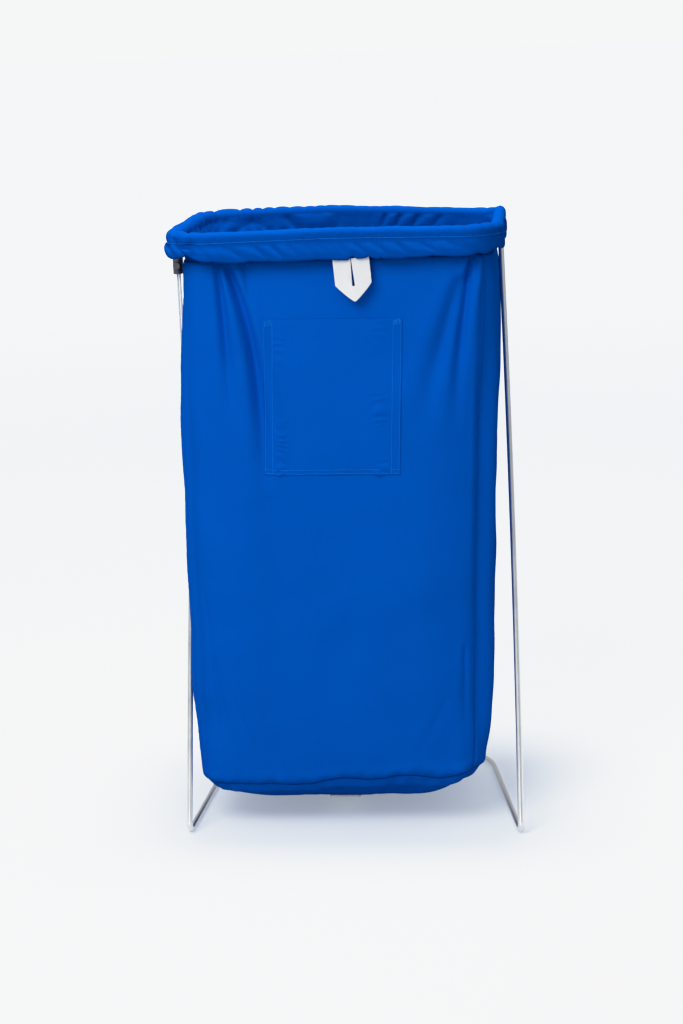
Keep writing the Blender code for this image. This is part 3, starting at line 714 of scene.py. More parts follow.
BLUE = (0.0004, 0.098, 0.530)
BLUE_DARK = (0.0003, 0.088, 0.482)
BLUE_SHEEN = (0.0, 0.22, 1.0)
WHITE = (0.93, 0.945, 0.96)
blue_cloth = cloth_material("blue_cloth", BLUE, BLUE_DARK, BLUE_SHEEN)
# A darker copy of the blue cloth for the hem band and the seam allowances: painted shade, not a different
# cloth.
painted_shade_cloth = cloth_material("blue_hem_cloth", (0.0003, 0.067, 0.375), (0.0002, 0.058, 0.330), BLUE_SHEEN)
blue_thread = thread_material("blue_thread", (0.008, 0.250, 0.92))
dark_thread = thread_material("blue_seam_thread", (0.0003, 0.014, 0.12))
corner_thread = thread_material("blue_corner_thread", (0.0003, 0.075, 0.42))
white_tape = webbing_material("white_webbing", WHITE, 900, 1500)
white_cord = webbing_material("white_cord", (0.88, 0.88, 0.87), 1200, 900)
steel = steel_material("steel_wire", (0.80, 0.80, 0.79), 0.30)
spring_steel = steel_material("spring_steel", (0.62, 0.63, 0.65), 0.30)
black_plastic = plastic_material("black_plastic", (0.012, 0.013, 0.014))


def finish_piece(piece, material, body, slot, *replaced):
    piece.data.materials.clear()
    piece.data.materials.append(material)
    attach(piece, body)
    if replaced:
        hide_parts(*replaced)
    return piece


# ================================================================= stand
FOOT_BEND_R = 0.010
REAR_CORNER_R = 0.080
REAR_HALF_WIDTH = 0.186
REAR_SHIFT = -0.016             # the floor frame is a little out of square


def foot_corner(side):
    lean = math.atan2(LEG_TOP_Y - HOOP.front, LEG_HIGH.z - 2 * WIRE_R)
    inside = math.pi / 2 - lean
    overrun = FOOT_BEND_R / math.tan(inside / 2) - FOOT_BEND_R
    return Vector((side * (LEG_HIGH.x - WIRE_R), HOOP.front - overrun, WIRE_R))


def leg_corners(side, steps=24):
    top = Vector((side * HOOP.half_width, LEG_TOP_Y, LEG_HIGH.z - 0.0012))
    foot = foot_corner(side)
    corners = []
    for step in range(steps):
        down = step / steps
        point = top.lerp(foot, down)
        point.x += side * LEG_BOW * 4 * down * (1 - down)
        corners.append((point, 0.0))
    return corners


def build_stand():
    bar_y = LEG_HIGH.y - WIRE_R
    floor = [
        (foot_corner(-1), FOOT_BEND_R),
        ((REAR_SHIFT - REAR_HALF_WIDTH, bar_y, WIRE_R), REAR_CORNER_R),
        ((REAR_SHIFT, bar_y, WIRE_R), 0.0),
        ((REAR_SHIFT + REAR_HALF_WIDTH, bar_y, WIRE_R), REAR_CORNER_R),
        (foot_corner(1), FOOT_BEND_R),
    ]
    path = rounded_path(leg_corners(-1) + floor + list(reversed(leg_corners(1))))
    legs = joined("stand_leg_wire", [tube(path, WIRE_R, 28)])
    finish_piece(legs, steel, "stand", "steel_wire", "leg_frame")
    places = place_of(np.linspace(0, GIRTH, 260, endpoint=False))
    x, y = HOOP.xy(places)
    hoop = joined("stand_hoop_wire", [tube(stacked(x, y, wire_z(places)), WIRE_R, 28, closed=True)])
    finish_piece(hoop, steel, "stand", "steel_wire", "top_hoop")
    for name in ("leg_weld_left", "leg_weld_right"):
        paint_node(name, steel)


def paint_node(name, material):
    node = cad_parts[name]
    node.data.materials.clear()
    node.data.materials.append(material)
    node.data.shade_smooth()
    node.data.set_sharp_from_angle(angle=math.radians(35))


# ================================================================= bag walls and bottom
def panel_places(first, last, pitch):
    """Places across a panel, closer together beside its two seams."""
    start, end = arc_of(first), arc_of(last)
    close = np.array([0.0, 0.0011, 0.0022, 0.0034, 0.0048, 0.0066, 0.009])
    count = int((end - start - 2 * close[-1]) / pitch)
    middle = np.linspace(start + close[-1], end - close[-1], count)[1:-1]
    return place_of(np.concatenate([start + close, middle, (end - close)[::-1]]))


def panel_shares():
    """Shares of the height from the bottom seam to the top, closer together at the seam."""
    height = WALL_HIGH.z - SEAM_Z
    close = np.array([0.0, 0.0012, 0.0025, 0.004, 0.006, 0.0085]) / height
    count = int(height / CLOTH_PITCH)
    return np.concatenate([close, np.linspace(close[-1], 1.0, count)[1:]])


def build_wall(name, node, first, last, pitch=CLOTH_PITCH):
    places = panel_places(first, last, pitch)[None, :]
    shares = panel_shares()[:, None]
    foot = seam_z(places)
    z = foot + (WALL_HIGH.z - foot) * shares
    places = np.broadcast_to(places, z.shape)
    piece = grid_object(name, wall_points(places, z), arc_of(places), z)
    solidify(piece, CLOTH)
    return finish_piece(piece, blue_cloth, "bag", "blue_cloth", node)


def bottom_points(place, out):
    edge = wall_points(place, seam_z(place))
    centre = np.array([float(lean_at(SEAM_Z)) + LOW_SHIFT, (BOTTOM_LOW.y + BOTTOM_HIGH.y) / 2])
    x = centre[0] + (edge[..., 0] - centre[0]) * out
    y = centre[1] + (edge[..., 1] - centre[1]) * out
    low = BOTTOM_LOW.z + CLOTH
    z = low + (edge[..., 2] - low) * (0.88 * out ** 3.0 + 0.12 * out ** 20.0)
    points = stacked(x, y, z)
    loose = smooth((1 - out) * 8) * smooth(out * 3)
    pucker = 0.0012 * ripple(points, 0.030, 42) * np.exp(-((1 - out) / 0.09) ** 2)
    points[..., 2] += 0.0014 * loose * ripple(points, 0.09, 41) + pucker * smooth((1 - out) * 40)
    points[..., 2] -= 0.0035 * np.exp(-((1 - out - 0.05) / 0.035) ** 2)
    return points


def build_bottom():
    places = place_of(np.linspace(0, GIRTH, 300, endpoint=False))[None, :]
    rings = 1.0 - np.linspace(1.0, 0.0, 44) ** 1.5
    rings = np.concatenate([rings[1:-1], [0.985, 0.993, 1.0]])
    rings = np.unique(np.round(rings, 6))[:, None]
    points = bottom_points(np.broadcast_to(places, (len(rings), places.shape[1])), rings)
    piece = grid_object(
        "bottom_cloth", points,
        np.concatenate([points[..., 0], points[:, :1, 0]], 1),
        np.concatenate([points[..., 1], points[:, :1, 1]], 1),
        wrap=True,
    )
    close_centre(piece, places.shape[1])
    solidify(piece, CLOTH)
    return finish_piece(piece, blue_cloth, "bag", "blue_cloth", "bottom_panel")


def close_centre(piece, count):
    """Fill the small hole left at the middle of the rings."""
    bm = bmesh.new()
    bm.from_mesh(piece.data)
    bm.verts.ensure_lookup_table()
    bm.faces.new([bm.verts[index] for index in range(count)])
    bmesh.ops.recalc_face_normals(bm, faces=bm.faces[:])
    bm.to_mesh(piece.data)
    bm.free()
    piece.data.shade_smooth()


# ================================================================= hem
def hem_profile():
    """Middle line of the hem's cloth as (outboard, up) from the wire's centre, inside first."""
    drop = HOOP_Z - WALL_HIGH.z
    points = [(-HEM_INNER - LEAF_IN, -drop - LEAF_OVERLAP), (-HEM_INNER - LEAF_IN, -drop)]
    points += [(-HEM_INNER - LEAF_IN * 0.4, -drop + 0.008), (-HEM_INNER, -0.006)]
    for step in range(0, 13):
        angle = math.pi - math.pi * step / 12
        points.append((HEM_INNER * math.cos(angle), HEM_INNER * math.sin(angle)))
    points += [(0.0070, -0.0045), (0.0066, -0.0075), (0.0074, -0.0100), (0.0092, -0.0140)]
    points += [(0.0108, -0.0185), (HEM_OUTER - 0.0003, -0.0225), (HEM_OUTER, -0.0265)]
    for step in range(1, 8):
        angle = -math.pi * step / 8
        points.append((HEM_OUTER - 0.0028 + 0.0028 * math.cos(angle), -0.0268 + 0.0028 * math.sin(angle)))
    points += [(HEM_OUTER - 0.0056, -0.0240), (HEM_OUTER - 0.0056, -0.0150)]
    path = np.array([(u, v, 0.0) for u, v in points])
    return resampled(path, 0.0016)[:, :2]


def hem_points(place, u, v, side_u, side_v):
    """Hem cloth at places (columns) for the profile's points and normals (rows)."""
    x, y = HOOP.xy(place)
    out_x, out_y = outward(place)
    outer = u > 0
    drop = around(BAND_PLACES, BAND_DROPS, place)
    reach_share = around(BAND_PLACES, BAND_REACHES, place)
    lean = 150.0 * np.maximum(0.0, -v) * outer + 60.0 * u
    lumps = gather_lumps(place, -lean)
    rise = around(WARP_PLACES, CLOTH_RISES, place) * MILLIMETRE * smooth((v + 0.022) / 0.018)
    inward = pull_in(place, WALL_HIGH.z) * smooth((-v - 0.004) / 0.024) * ~outer
    hang = smooth((-v - 0.004) / 0.010) * outer
    v = v * (1 - hang * (1 - drop))
    u = np.where(u > HEM_INNER, HEM_INNER + (u - HEM_INNER) * reach_share, u) - inward
    depth = gather_depth(place) * (0.35 + 0.65 * np.maximum(reach_share, v > -0.006))
    over = np.where(outer, 1.0, smooth((v + 0.028) / 0.016))
    ring = stacked(x, y, 0.0 * x)
    bulge = depth * (lumps - 0.40) + 0.0006 * ripple(ring, 0.045, 51) * outer
    bulge = np.where(outer, bulge + diagonal_folds(place, v) * reach_share, bulge)
    bulge = np.where(outer, bulge, bulge + inner_pleats(place, v))
    bulge = bulge - corner_notch(place) * outer * smooth((-v - 0.002) / 0.006)
    under = side_share(out_y) * (lumps - 0.5) * gather_depth(place)
    sag = (u > 0.004) * smooth((-v - 0.012) / 0.012)
    nick = np.maximum(0.0, ripple(ring, 0.013, 54) - 0.55) * 0.0026
    scallop = sag * (0.0007 * ripple(ring, 0.06, 52) - nick)
    reach = u + side_u * bulge * over + under * (1 - over)
    z = wire_z(place) + v + rise + side_v * bulge * over - scallop
    return stacked(x + out_x * reach, y + out_y * reach, z)


def corner_notch(place):
    """Depth of the crease where the band turns the front left corner."""
    return CORNER_NOTCH * np.exp(-((np.mod(place, 8.0) - CORNER_NOTCH_PLACE) / 0.09) ** 2)


def diagonal_folds(place, v):
    """Height of the slanting drag folds of the band, strongest at its lower half."""
    turn = arc_of(np.mod(place, 8.0)) / GIRTH * 2 * math.pi
    x, y = HOOP.xy(place)
    ring = stacked(x, y, 0.0 * x)
    phase = turn * 23 + v * 120.0 + 2.6 * ripple(ring, 0.12, 53)
    crease = np.abs(np.sin(phase)) ** 0.6 - 0.7
    strength = 0.0025 + 0.0013 * ripple(ring, 0.10, 55)
    edge = 1.0 - 0.7 * smooth((-v - 0.019) / 0.006)
    return strength * crease * smooth((-v - 0.0085) / 0.006) * edge


def inner_pleats(place, v):
    """Height of the pleats on the leaf that is seen inside the mouth."""
    x, y = HOOP.xy(place)
    ring = stacked(x, y, 0.0 * x)
    turn = arc_of(np.mod(place, 8.0)) / GIRTH * 2 * math.pi
    phase = turn * 11 + v * 60.0 + 5.0 * ripple(ring, 0.14, 57)
    crease = np.abs(np.sin(phase)) ** 0.6 - 0.7
    patchy = np.clip(0.75 + 1.3 * ripple(ring, 0.075, 59), 0.1, 1.5)
    return INNER_LEAF_PLEATS * crease * patchy * smooth((-v - 0.001) / 0.006)


def profile_normals(profile):
    tangent = np.gradient(profile, axis=0)
    tangent /= np.linalg.norm(tangent, axis=1)[:, None]
    return -tangent[:, 1], tangent[:, 0]


def build_hem():
    profile = hem_profile()
    side_u, side_v = profile_normals(profile)
    count = 640
    places = place_of(np.linspace(0, GIRTH, count, endpoint=False))[None, :]
    u, v = profile[:, :1], profile[:, 1:]
    points = hem_points(places, u, v, side_u[:, None], side_v[:, None])
    along = np.concatenate([[0.0], np.cumsum(np.linalg.norm(np.diff(profile, axis=0), axis=1))])
    arc = np.linspace(0, GIRTH, count + 1)
    piece = grid_object(
        "hem_band", points,
        np.broadcast_to(arc[None, :], (len(profile), count + 1)),
        np.broadcast_to(along[:, None], (len(profile), count + 1)),
        wrap=True,
    )
    solidify(piece, CLOTH)
    # The hem takes the darker copy of the blue cloth: painted shade.
    finish_piece(piece, painted_shade_cloth, "bag", "blue_cloth", "hem_casing")
    build_hem_stitches(profile, side_u, side_v)


def build_hem_stitches(profile, side_u, side_v):
    """The row of stitches that closes the wire's channel, just under the roll."""
    row = int(np.argmin(np.abs(profile[:, 1] + 0.0060) + (profile[:, 0] < 0)))
    places = place_of(np.linspace(0, GIRTH, 1280))[None, :]
    u, v = profile[row:row + 1, :1], profile[row:row + 1, 1:]
    path = hem_points(places, u + 0.0005, v, side_u[row:row + 1, None], side_v[row:row + 1, None])[0]
    out_x, out_y = outward(places[0])
    outs = stacked(out_x, out_y, 0.0 * out_x)
    piece = joined("hem_stitches", stitch_row(path, outs))
    finish_piece(piece, blue_thread, "bag", "blue_cloth")


# ================================================================= pocket
POCKET_LIFT = 0.0004
POCKET_SLANT = ((0.0040, -0.0043), (-0.0040, 0.0044))   # (left, right) inset at top, then at bottom
POCKET_TOP_DROP = 0.003


def pocket_xz(share_x, share_z):
    """Final x and z on the pocket; shares run left to right and bottom to top."""
    left = POCKET_LOW.x + POCKET_SLANT[1][0] + (POCKET_SLANT[0][0] - POCKET_SLANT[1][0]) * share_z
    right = POCKET_HIGH.x - POCKET_SLANT[1][1] + (POCKET_SLANT[1][1] - POCKET_SLANT[0][1]) * share_z
    x = left + (right - left) * share_x
    low = POCKET_LOW.z + 0.004 - 0.002 * share_x
    high = POCKET_HIGH.z - POCKET_TOP_DROP - 0.002 * share_x
    return x, low + (high - low) * share_z


def on_front(x, z, lift):
    return wall_points(front_place(x, z), z, lift)


def build_pocket():
    columns, rows = 90, 130
    sx = np.linspace(0, 1, columns)[None, :]
    sz = np.linspace(0, 1, rows)[:, None]
    x, z = pocket_xz(sx, sz)
    edge = np.minimum(np.minimum(sx, 1 - sx) * 0.18, sz * 0.19)
    puff = 0.0006 * smooth(edge / 0.03) * (0.6 + 0.4 * ripple(stacked(x, 0 * x, z), 0.07, 61))
    sag = 0.0005 * smooth((sz - 0.75) / 0.25) * np.sin(math.pi * sx) ** 2
    points = on_front(x, z, POCKET_LIFT + puff + sag + pocket_puckers(x, z, sx))
    piece = grid_object("pocket_cloth", points, x, z)
    solidify(piece, 0.0004)
    finish_piece(piece, blue_cloth, "bag", "blue_cloth", "pocket_patch")
    build_pocket_stitches()


def pocket_puckers(x, z, share_x):
    """Small level puckers beside the stitched sides, deeper at the right."""
    wave = np.sin(z * 2 * math.pi / 0.0105 + 3.0 * ripple(stacked(x, 0 * x, z), 0.03, 62))
    patch = smooth(0.5 + 0.8 * ripple(stacked(x, 0 * x, z), 0.07, 63))
    left = np.exp(-((share_x - 0.13) / 0.045) ** 2)
    right = np.exp(-((share_x - 0.855) / 0.055) ** 2)
    return 0.0027 * (0.6 * left + 1.1 * right) * patch * (0.5 + 0.5 * wave)


def pocket_row(start, end, lift=0.0009):
    steps = np.linspace(0, 1, 80)
    sx = start[0] + (end[0] - start[0]) * steps
    sz = start[1] + (end[1] - start[1]) * steps
    x, z = pocket_xz(sx, sz)
    path = on_front(x, z, lift + 0 * x)
    outs = np.tile(np.array([[0.0, -1.0, 0.0]]), (len(path), 1))
    return path, outs


def build_pocket_stitches():
    rows = []
    for inset in (0.012, 0.068):
        rows.append(((inset, 0.99), (inset, 0.012)))
        rows.append(((1 - inset, 0.99), (1 - inset, 0.012)))
    for inset in (0.012, 0.036):
        rows.append(((0.012, inset), (0.988, inset)))
    parts = []
    for start, end in rows:
        parts += stitch_row(*pocket_row(start, end), radius=0.00034)
    for corner in (0.012, 0.934):
        for step in range(9):
            height = 0.955 + 0.004 * step
            parts += stitch_row(*pocket_row((corner, height), (corner + 0.054, height + 0.012)))
    piece = joined("pocket_stitches", parts)
    finish_piece(piece, blue_thread, "bag", "blue_cloth")


# ================================================================= seams
def build_seams():
    """Thread lines in the corner seams and bottom seam, and taped seam allowances inside."""
    parts = []
    for seam in CORNER_SEAMS[1:]:
        z = np.linspace(float(seam_z(np.array(seam))) + 0.003, WALL_HIGH.z - 0.003, 260)
        path = wall_points(np.full(z.shape, seam), z, 0.0003)
        out_x, out_y = outward(np.full(z.shape, seam))
        parts += stitch_row(path, stacked(out_x, out_y, 0 * z), pitch=0.0036, radius=0.00018)
    finish_piece(joined("corner_seam_threads", parts), corner_thread, "bag", "blue_cloth")
    places = place_of(np.linspace(0.0, GIRTH, 700))
    path = wall_points(places, seam_z(places) + 0.0006, 0.0004)
    out_x, out_y = outward(places)
    parts = stitch_row(path, stacked(out_x, out_y, 0 * out_x), pitch=0.0034, radius=0.00042)
    finish_piece(joined("bottom_seam_threads", parts), dark_thread, "bag", "blue_cloth")
    build_allowances()


def build_allowances():
    """Overlocked seam allowances lying against the inside of the walls."""
    for index, seam in enumerate(CORNER_SEAMS[1:]):
        z = np.linspace(SEAM_Z + 0.02, WALL_HIGH.z - 0.001, 150)[:, None]
        arcs = arc_of(seam) + np.linspace(0.0, 0.009, 6)[None, :]
        places = np.broadcast_to(place_of(arcs), (len(z), 6))
        z = np.broadcast_to(z, places.shape)
        wave = 0.0004 * np.sin(z * 2 * math.pi / 0.012) * np.linspace(0, 1, 6)[None, :]
        points = wall_points(places, z, -0.0014 + wave)
        piece = grid_object(f"seam_allowance_{index + 1}", points, arcs + 0 * z, z)
        solidify(piece, 0.0009)
        # The allowances take the darker copy of the blue cloth: painted shade.
        finish_piece(piece, painted_shade_cloth, "bag", "blue_cloth")


# ================================================================= tab
TAB_LEAN = math.radians(4.3)
TAB_THICK = 0.0013


def build_tab():
    """White pentagon of folded tape with a slit that opens downwards."""
    width = TAB_HIGH.x - TAB_LOW.x
    length = TAB_HIGH.z - TAB_LOW.z
    shoulder = length * 0.55
    slit = length * 0.62
    rows, columns = 44, 12
    down = np.linspace(-0.003, length, rows)[:, None]
    share = np.linspace(0.0, 1.0, columns)[None, :]
    taper = np.clip((down - shoulder) / (length - shoulder), 0.0, 1.0)
    edge = width / 2 * (1.0 - taper) + 0.0022 * np.sqrt(np.clip(taper * (1.02 - taper), 0, 1)) * 2
    gap = np.where(down < slit, 0.0005 + 0.0013 * np.clip(down / slit, 0, 1), 0.0)
    parts = []
    for side in (-1, 1):
        x = side * (gap + (np.maximum(edge, gap + 0.0004) - gap) * share)
        curl = 0.0022 * (down / length) ** 2 + 0.0010 * np.cos(x / width * math.pi)
        points = stacked(x, -curl, -down + 0 * x)
        if side < 0:
            points = points[:, ::-1]
            x = x[:, ::-1]
        faces = grid_faces(rows, columns, False)
        r = np.repeat(np.arange(rows - 1), columns - 1)
        c = np.tile(np.arange(columns - 1), rows - 1)
        corner = ((r, c), (r, c + 1), (r + 1, c + 1), (r + 1, c))
        depth = down + 0 * x
        uvs = np.stack([np.stack([x[i, j], depth[i, j]], -1) for i, j in corner], 1)
        parts.append((points.reshape(-1, 3), [tuple(f) for f in faces], uvs.reshape(-1, 2)))
    piece = joined("closing_tab_tape", parts)
    weld_close(piece, 1e-5)
    lean = Matrix.Rotation(TAB_LEAN, 4, "Y")
    centre = Vector(((TAB_LOW.x + TAB_HIGH.x) / 2, (TAB_LOW.y + TAB_HIGH.y) / 2, TAB_HIGH.z))
    piece.data.transform(Matrix.Translation(centre) @ lean.inverted())
    solidify(piece, TAB_THICK)
    bevel = piece.modifiers.new("Edge", "BEVEL")
    bevel.width = 0.0003
    bevel.segments = 2
    bevel.angle_limit = math.radians(50)
    finish_piece(piece, white_tape, "closing_tab", "white_webbing", "closing_tab")


def weld_close(piece, distance):
    bm = bmesh.new()
    bm.from_mesh(piece.data)
    bmesh.ops.remove_doubles(bm, verts=bm.verts[:], dist=distance)
    bmesh.ops.recalc_face_normals(bm, faces=bm.faces[:])
    bm.to_mesh(piece.data)
    bm.free()
    piece.data.shade_smooth()


# ================================================================= pull strap
STRAP_SHIFT = -0.005
STRAP_LOOP = 0.0016             # drop of the loose loop at the front, and its share of the run
STRAP_LOOP_AT = 0.07


def build_strap():
    """Webbing under the bottom, sewn down at both ends."""
    rows, columns = 60, 12
    share = np.linspace(0, 1, rows)[:, None]
    y = STRAP_LOW.y + (STRAP_HIGH.y - STRAP_LOW.y) * share
    x = STRAP_LOW.x + (STRAP_HIGH.x - STRAP_LOW.x) * np.linspace(0, 1, columns)[None, :]
    x = x + float(lean_at(SEAM_Z)) + LOW_SHIFT + STRAP_SHIFT
    slack = (STRAP_HIGH.z - STRAP_LOW.z) * 0.45 * np.sin(math.pi * share) ** 2
    centre = (BOTTOM_LOW.y + BOTTOM_HIGH.y) / 2
    out = np.abs(y - centre) / ((BOTTOM_HIGH.y - BOTTOM_LOW.y) / 2)
    rise = (SEAM_Z - BOTTOM_LOW.z) * out ** 3.0
    loop = STRAP_LOOP * np.exp(-((share - STRAP_LOOP_AT) / 0.06) ** 2)
    z = BOTTOM_LOW.z - 0.0012 + np.minimum(rise, 0.006) - slack - loop + 0 * x
    piece = grid_object("pull_strap_webbing", stacked(x, y, z), x + 0 * y, y + 0 * x)
    solidify(piece, 0.0024)
    finish_piece(piece, white_tape, "bag", "white_webbing", "pull_strap")


# ================================================================= draw cord
CORD_R = 0.0013
EXIT_Y = (LOCK_LOW.y + LOCK_HIGH.y) / 2
TAIL_X = (LOCK_LOW.x + LOCK_HIGH.x) / 2
TAIL_SPACING = 0.0032
SHORT_TAIL_Z = CORD_LOW.z + 0.090
TAIL_PART = (BAG_TOP.rear - BAG_TOP.corner_r - EXIT_Y) / RUN_LENGTHS[6]   # part of the left run


def twisted(path, strands=3, pitch=0.0085, step=0.0009):
    """Twisted strands along a path."""
    path = resampled(np.asarray(path, float), step)
    _, side, up = transport(path)
    along = np.arange(len(path)) * step
    parts = []
    for strand in range(strands):
        angle = 2 * math.pi * (strand / strands + along / pitch)
        ring = side * np.cos(angle)[:, None] + up * np.sin(angle)[:, None]
        parts.append(tube(path + ring * CORD_R * 0.52, CORD_R * 0.56, 7))
    return parts


def tail_path(x, y, low, sway):
    """A hanging cord from inside the hem down to its end, with a slight wander."""
    z = np.linspace(HOOP_Z - 0.016, low, 90)
    down = (z[0] - z) / (z[0] - z[-1])
    hold = smooth((LOCK_LOW.z - LOCK_TRAVEL - z) / 0.05)
    wander = hold * sway * np.sin(down * 2 * math.pi * 1.3 + sway * 900)
    wall = wall_points(np.full(z.shape, 6.0 + TAIL_PART), np.minimum(z, WALL_HIGH.z))[:, 0]
    lean = x + lean_at(z) * hold * 0.6
    clear = np.minimum(lean, wall - CORD_R * 2.0 + (x - TAIL_X))
    return stacked(lean + (clear - lean) * hold + wander * 0.3, y + wander, z)


def wrap_knot(centre, turns=2.6, radius=0.0019, height=0.0062):
    angle = np.linspace(0, 2 * math.pi * turns, 60)
    share = angle / angle[-1]
    swell = radius * (0.75 + 0.25 * np.sin(math.pi * share))
    x = centre[0] + swell * np.cos(angle)
    y = centre[1] + swell * np.sin(angle)
    z = centre[2] + height * (share - 0.5)
    return tube(stacked(x, y, z), CORD_R * 0.95, 8)


def frayed_end(point, seed, strands=9, length=0.007):
    draw = np.random.default_rng(seed)
    parts = []
    for _ in range(strands):
        way = np.array([draw.uniform(-0.28, 0.28), draw.uniform(-0.28, 0.28), -1.0])
        start = np.array(point) + np.append(draw.uniform(-0.0007, 0.0007, 2), 0.001)
        steps = np.linspace(0, 1, 5)[:, None]
        parts.append(tube(start + way * length * steps * draw.uniform(0.7, 1.0), 0.00022, 5))
    return parts


def build_cord():
    parts = []
    tails = (
        (TAIL_X - TAIL_SPACING / 2, EXIT_Y, SHORT_TAIL_Z, 0.0022, 71),
        (TAIL_X + TAIL_SPACING / 2, EXIT_Y, CORD_LOW.z, 0.0016, 72),
    )
    for x, y, low, sway, seed in tails:
        path = tail_path(x, y, low + 0.006, sway)
        parts += twisted(path)
        knot = path[-1] + np.array([0.0, 0.0, 0.006])
        parts.append(wrap_knot(knot))
        parts += frayed_end(path[-1], seed)
    places = place_of(np.linspace(0, GIRTH, 300, endpoint=False))
    x, y = HOOP.xy(places)
    out_x, out_y = outward(places)
    drop = 0.0235 * around(BAND_PLACES, BAND_DROPS, places)
    reach = HEM_INNER + (HEM_OUTER - 0.0030 - HEM_INNER) * around(BAND_PLACES, BAND_REACHES, places)
    reach = reach - corner_notch(places) - 0.3 * gather_depth(places)
    ring = stacked(x + out_x * reach, y + out_y * reach, wire_z(places) - drop)
    parts.append(tube(ring, CORD_R * 0.7, 8, closed=True))
    piece = joined("draw_cord_twist", parts)
    finish_piece(piece, white_cord, "bag", "white_cord", "draw_cord")


SPRING_TURNS = 3
SPRING_WIRE_R = 0.00025


def paint_lock():
    paint_node("cord_lock_body", black_plastic)
    paint_node("cord_lock_button", black_plastic)
    build_lock_spring()


def build_lock_spring():
    """Coil behind the button."""
    low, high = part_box("cord_lock_spring")
    radius = (high.x - low.x) / 2 - SPRING_WIRE_R
    turn = np.linspace(0.0, 2 * math.pi * SPRING_TURNS, 24 * SPRING_TURNS)
    x = (low.x + high.x) / 2 + radius * np.cos(turn)
    z = (low.z + high.z) / 2 + radius * np.sin(turn)
    y = np.linspace(low.y + SPRING_WIRE_R, high.y - SPRING_WIRE_R, turn.size)
    piece = joined("lock_spring_coil", [tube(stacked(x, y, z), SPRING_WIRE_R, 7)])
    finish_piece(piece, spring_steel, "cord_lock", "spring_steel", "cord_lock_spring")
    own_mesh(piece)


# ================================================================= studio
CAMERA_PLACE = (0.24798, -2.58729, 1.05017)
CAMERA_YAW = -0.10132
CAMERA_TILT = 0.24368
CAMERA_ROLL = -0.03919
CAMERA_LENS = 70.0


def build_camera():
    data = bpy.data.cameras.new("Camera")
    data.lens = CAMERA_LENS
    data.sensor_width = 36.0
    camera = bpy.data.objects.new("Camera", data)
    bpy.context.scene.collection.objects.link(camera)
    ahead = Vector((
        math.sin(CAMERA_YAW) * math.cos(CAMERA_TILT),
        math.cos(CAMERA_YAW) * math.cos(CAMERA_TILT),
        -math.sin(CAMERA_TILT),
    ))
    right = Vector((math.cos(CAMERA_YAW), -math.sin(CAMERA_YAW), 0.0))
    up = right.cross(ahead)
    rolled_right = right * math.cos(CAMERA_ROLL) + up * math.sin(CAMERA_ROLL)
    rolled_up = up * math.cos(CAMERA_ROLL) - right * math.sin(CAMERA_ROLL)
    turn = Matrix((rolled_right, rolled_up, -ahead)).transposed()
    camera.matrix_world = Matrix.Translation(CAMERA_PLACE) @ turn.to_4x4()
    bpy.context.scene.camera = camera


def stage_material():
    """Pale floor with a painted glow, seen only by the camera and in reflections, that lifts and tints
    blue the shadow under the bag and grows brighter far off; it throws little light back up.
    """
    made, tree, shader = new_material("studio_white")
    nodes = Nodes(tree)
    place = nodes.add("ShaderNodeTexCoord").outputs["Object"]
    path = nodes.add("ShaderNodeLightPath")
    seen = nodes.math("MAXIMUM", path.outputs["Is Camera Ray"], path.outputs["Is Glossy Ray"])
    mottle = nodes.noise(place, 1.5, 2.0)
    tone = nodes.blend(mottle, rgba(FLOOR_TONE, 0.985), rgba(FLOOR_TONE))
    tree.links.new(nodes.blend(seen, rgba(FLOOR_BOUNCE), tone), shader.inputs["Base Color"])
    shader.inputs["Roughness"].default_value = 0.85
    shader.inputs["Specular IOR Level"].default_value = 0.0
    shader.inputs["Emission Color"].default_value = rgba(FLOOR_GLOW_TONE)
    # Painted light: the glow is weakest within 0.7 m of the bag and rises out to 5 m, so it lifts the
    # shadow under the bag and keeps the far floor bright.
    span = nodes.add("ShaderNodeVectorMath", {0: place}, operation="LENGTH").outputs["Value"]
    glow = nodes.remap(span, 0.7, 5.0, FLOOR_GLOW, FLOOR_GLOW_FAR)
    tree.links.new(nodes.math("MULTIPLY", seen, glow), shader.inputs["Emission Strength"])
    return made


FLOOR_TONE = (0.74, 0.75, 0.76)
FLOOR_BOUNCE = (0.33, 0.345, 0.37)
# Painted light on the floor: the glow's blue tone tints the shadow under the bag; then its strength near
# the bag and far off.
FLOOR_GLOW_TONE = (0.84, 0.97, 1.16)
FLOOR_GLOW = 0.31
FLOOR_GLOW_FAR = 0.92


def build_stage():
    """Plain pale floor that reaches past the horizon."""
    half = 60.0
    marks = np.array([-half, 0.0, half])
    x, y = np.meshgrid(marks, marks)
    floor = grid_object("studio_floor", stacked(x, y, -0.0002), x, y)
    floor.data.materials.append(stage_material())


def area_light(name, place, target, size, power, colour=(1.0, 1.0, 1.0)):
    data = bpy.data.lights.new(name, "AREA")
    data.shape = "RECTANGLE"
    data.size, data.size_y = size
    data.energy = power
    data.color = colour
    lamp = bpy.data.objects.new(name, data)
    lamp.location = place
    aim = Vector(target) - Vector(place)
    lamp.rotation_euler = aim.to_track_quat("-Z", "Y").to_euler()
    lamp.visible_camera = False
    bpy.context.scene.collection.objects.link(lamp)


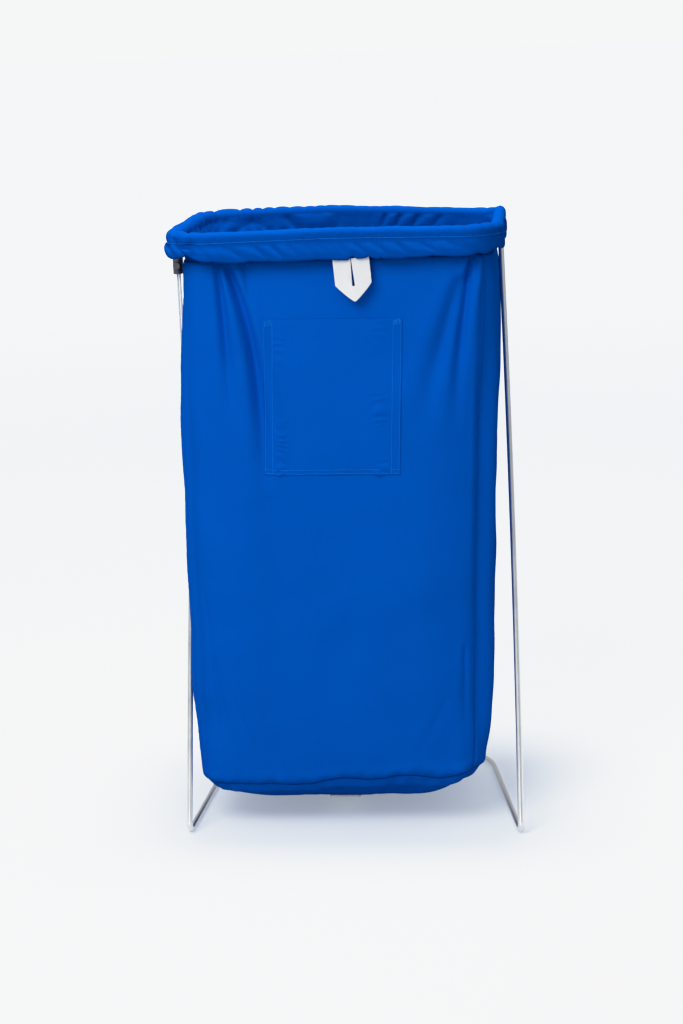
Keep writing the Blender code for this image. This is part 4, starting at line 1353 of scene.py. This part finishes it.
def build_world():
    """Soft sky, brighter overhead than at the horizon; plain white behind the object."""
    world = bpy.data.worlds.new("Studio")
    world.use_nodes = True
    tree = world.node_tree
    nodes = Nodes(tree)
    height = nodes.add("ShaderNodeSeparateXYZ", {0: nodes.add("ShaderNodeTexCoord").outputs["Generated"]})
    share = nodes.remap(height.outputs["Z"], -0.1, 0.9, 0.0, 1.0)
    sky = nodes.blend(share, rgba(SKY_LOW), rgba(SKY_HIGH))
    seen = nodes.add("ShaderNodeLightPath").outputs["Is Camera Ray"]
    background = tree.nodes["Background"]
    tree.links.new(nodes.blend(seen, sky, rgba(SKY_SEEN)), background.inputs["Color"])
    background.inputs["Strength"].default_value = SKY_STRENGTH
    bpy.context.scene.world = world


def soften_highlights():
    """Film-like shoulder: bright tones ease into a pale grey-white."""
    view = bpy.context.scene.view_settings
    view.view_transform = "Standard"
    view.use_curve_mapping = True
    mapping = view.curve_mapping
    mapping.use_clip = False
    mapping.clip_max_x = SHOULDER[-1][0]
    mapping.extend = "HORIZONTAL"
    brightest = SHOULDER[-1][0]
    for channel in mapping.curves[:3]:
        channel.points[1].location = (brightest, brightest)
    curve = mapping.curves[3]
    curve.points[1].location = SHOULDER[-1]
    for level in SHOULDER[:-1]:
        curve.points.new(*level)
    mapping.update()


SKY_LOW = (0.40, 0.41, 0.43)
SKY_HIGH = (0.96, 0.98, 1.0)
SKY_SEEN = (2.0, 2.1, 2.15)
SKY_STRENGTH = 0.66
SHOULDER = ((0.3, 0.3), (0.6, 0.6), (0.8, 0.77), (1.0, 0.87), (1.4, 0.925), (2.0, 0.935))


def build_light():
    build_world()
    area_light("ceiling", (0.0, 0.05, 2.5), (0.0, 0.0, 0.4), (0.50, 0.36), 40.0)
    area_light("key", (-0.66, -1.42, 1.95), (0.0, -0.1, 0.62), (1.2, 1.0), 26.0)
    area_light("front", (-0.4, -2.2, 0.16), (0.0, -0.1, 0.1), (1.2, 0.26), 6.0)
    soften_highlights()


# ================================================================= assembly
build_stand()
build_wall("front_cloth", "front_panel", CORNER_SEAMS[0], 1.5, FRONT_PITCH)
build_wall("side_cloth_right", "side_panel_right", 1.5, 3.5)
build_wall("back_cloth", "back_panel", 3.5, 5.5)
build_wall("side_cloth_left", "side_panel_left", 5.5, FRONT_LEFT_SEAM)
build_bottom()
build_hem()
build_pocket()
build_seams()
build_tab()
build_strap()
build_cord()
paint_lock()
build_stage()
build_light()
build_camera()
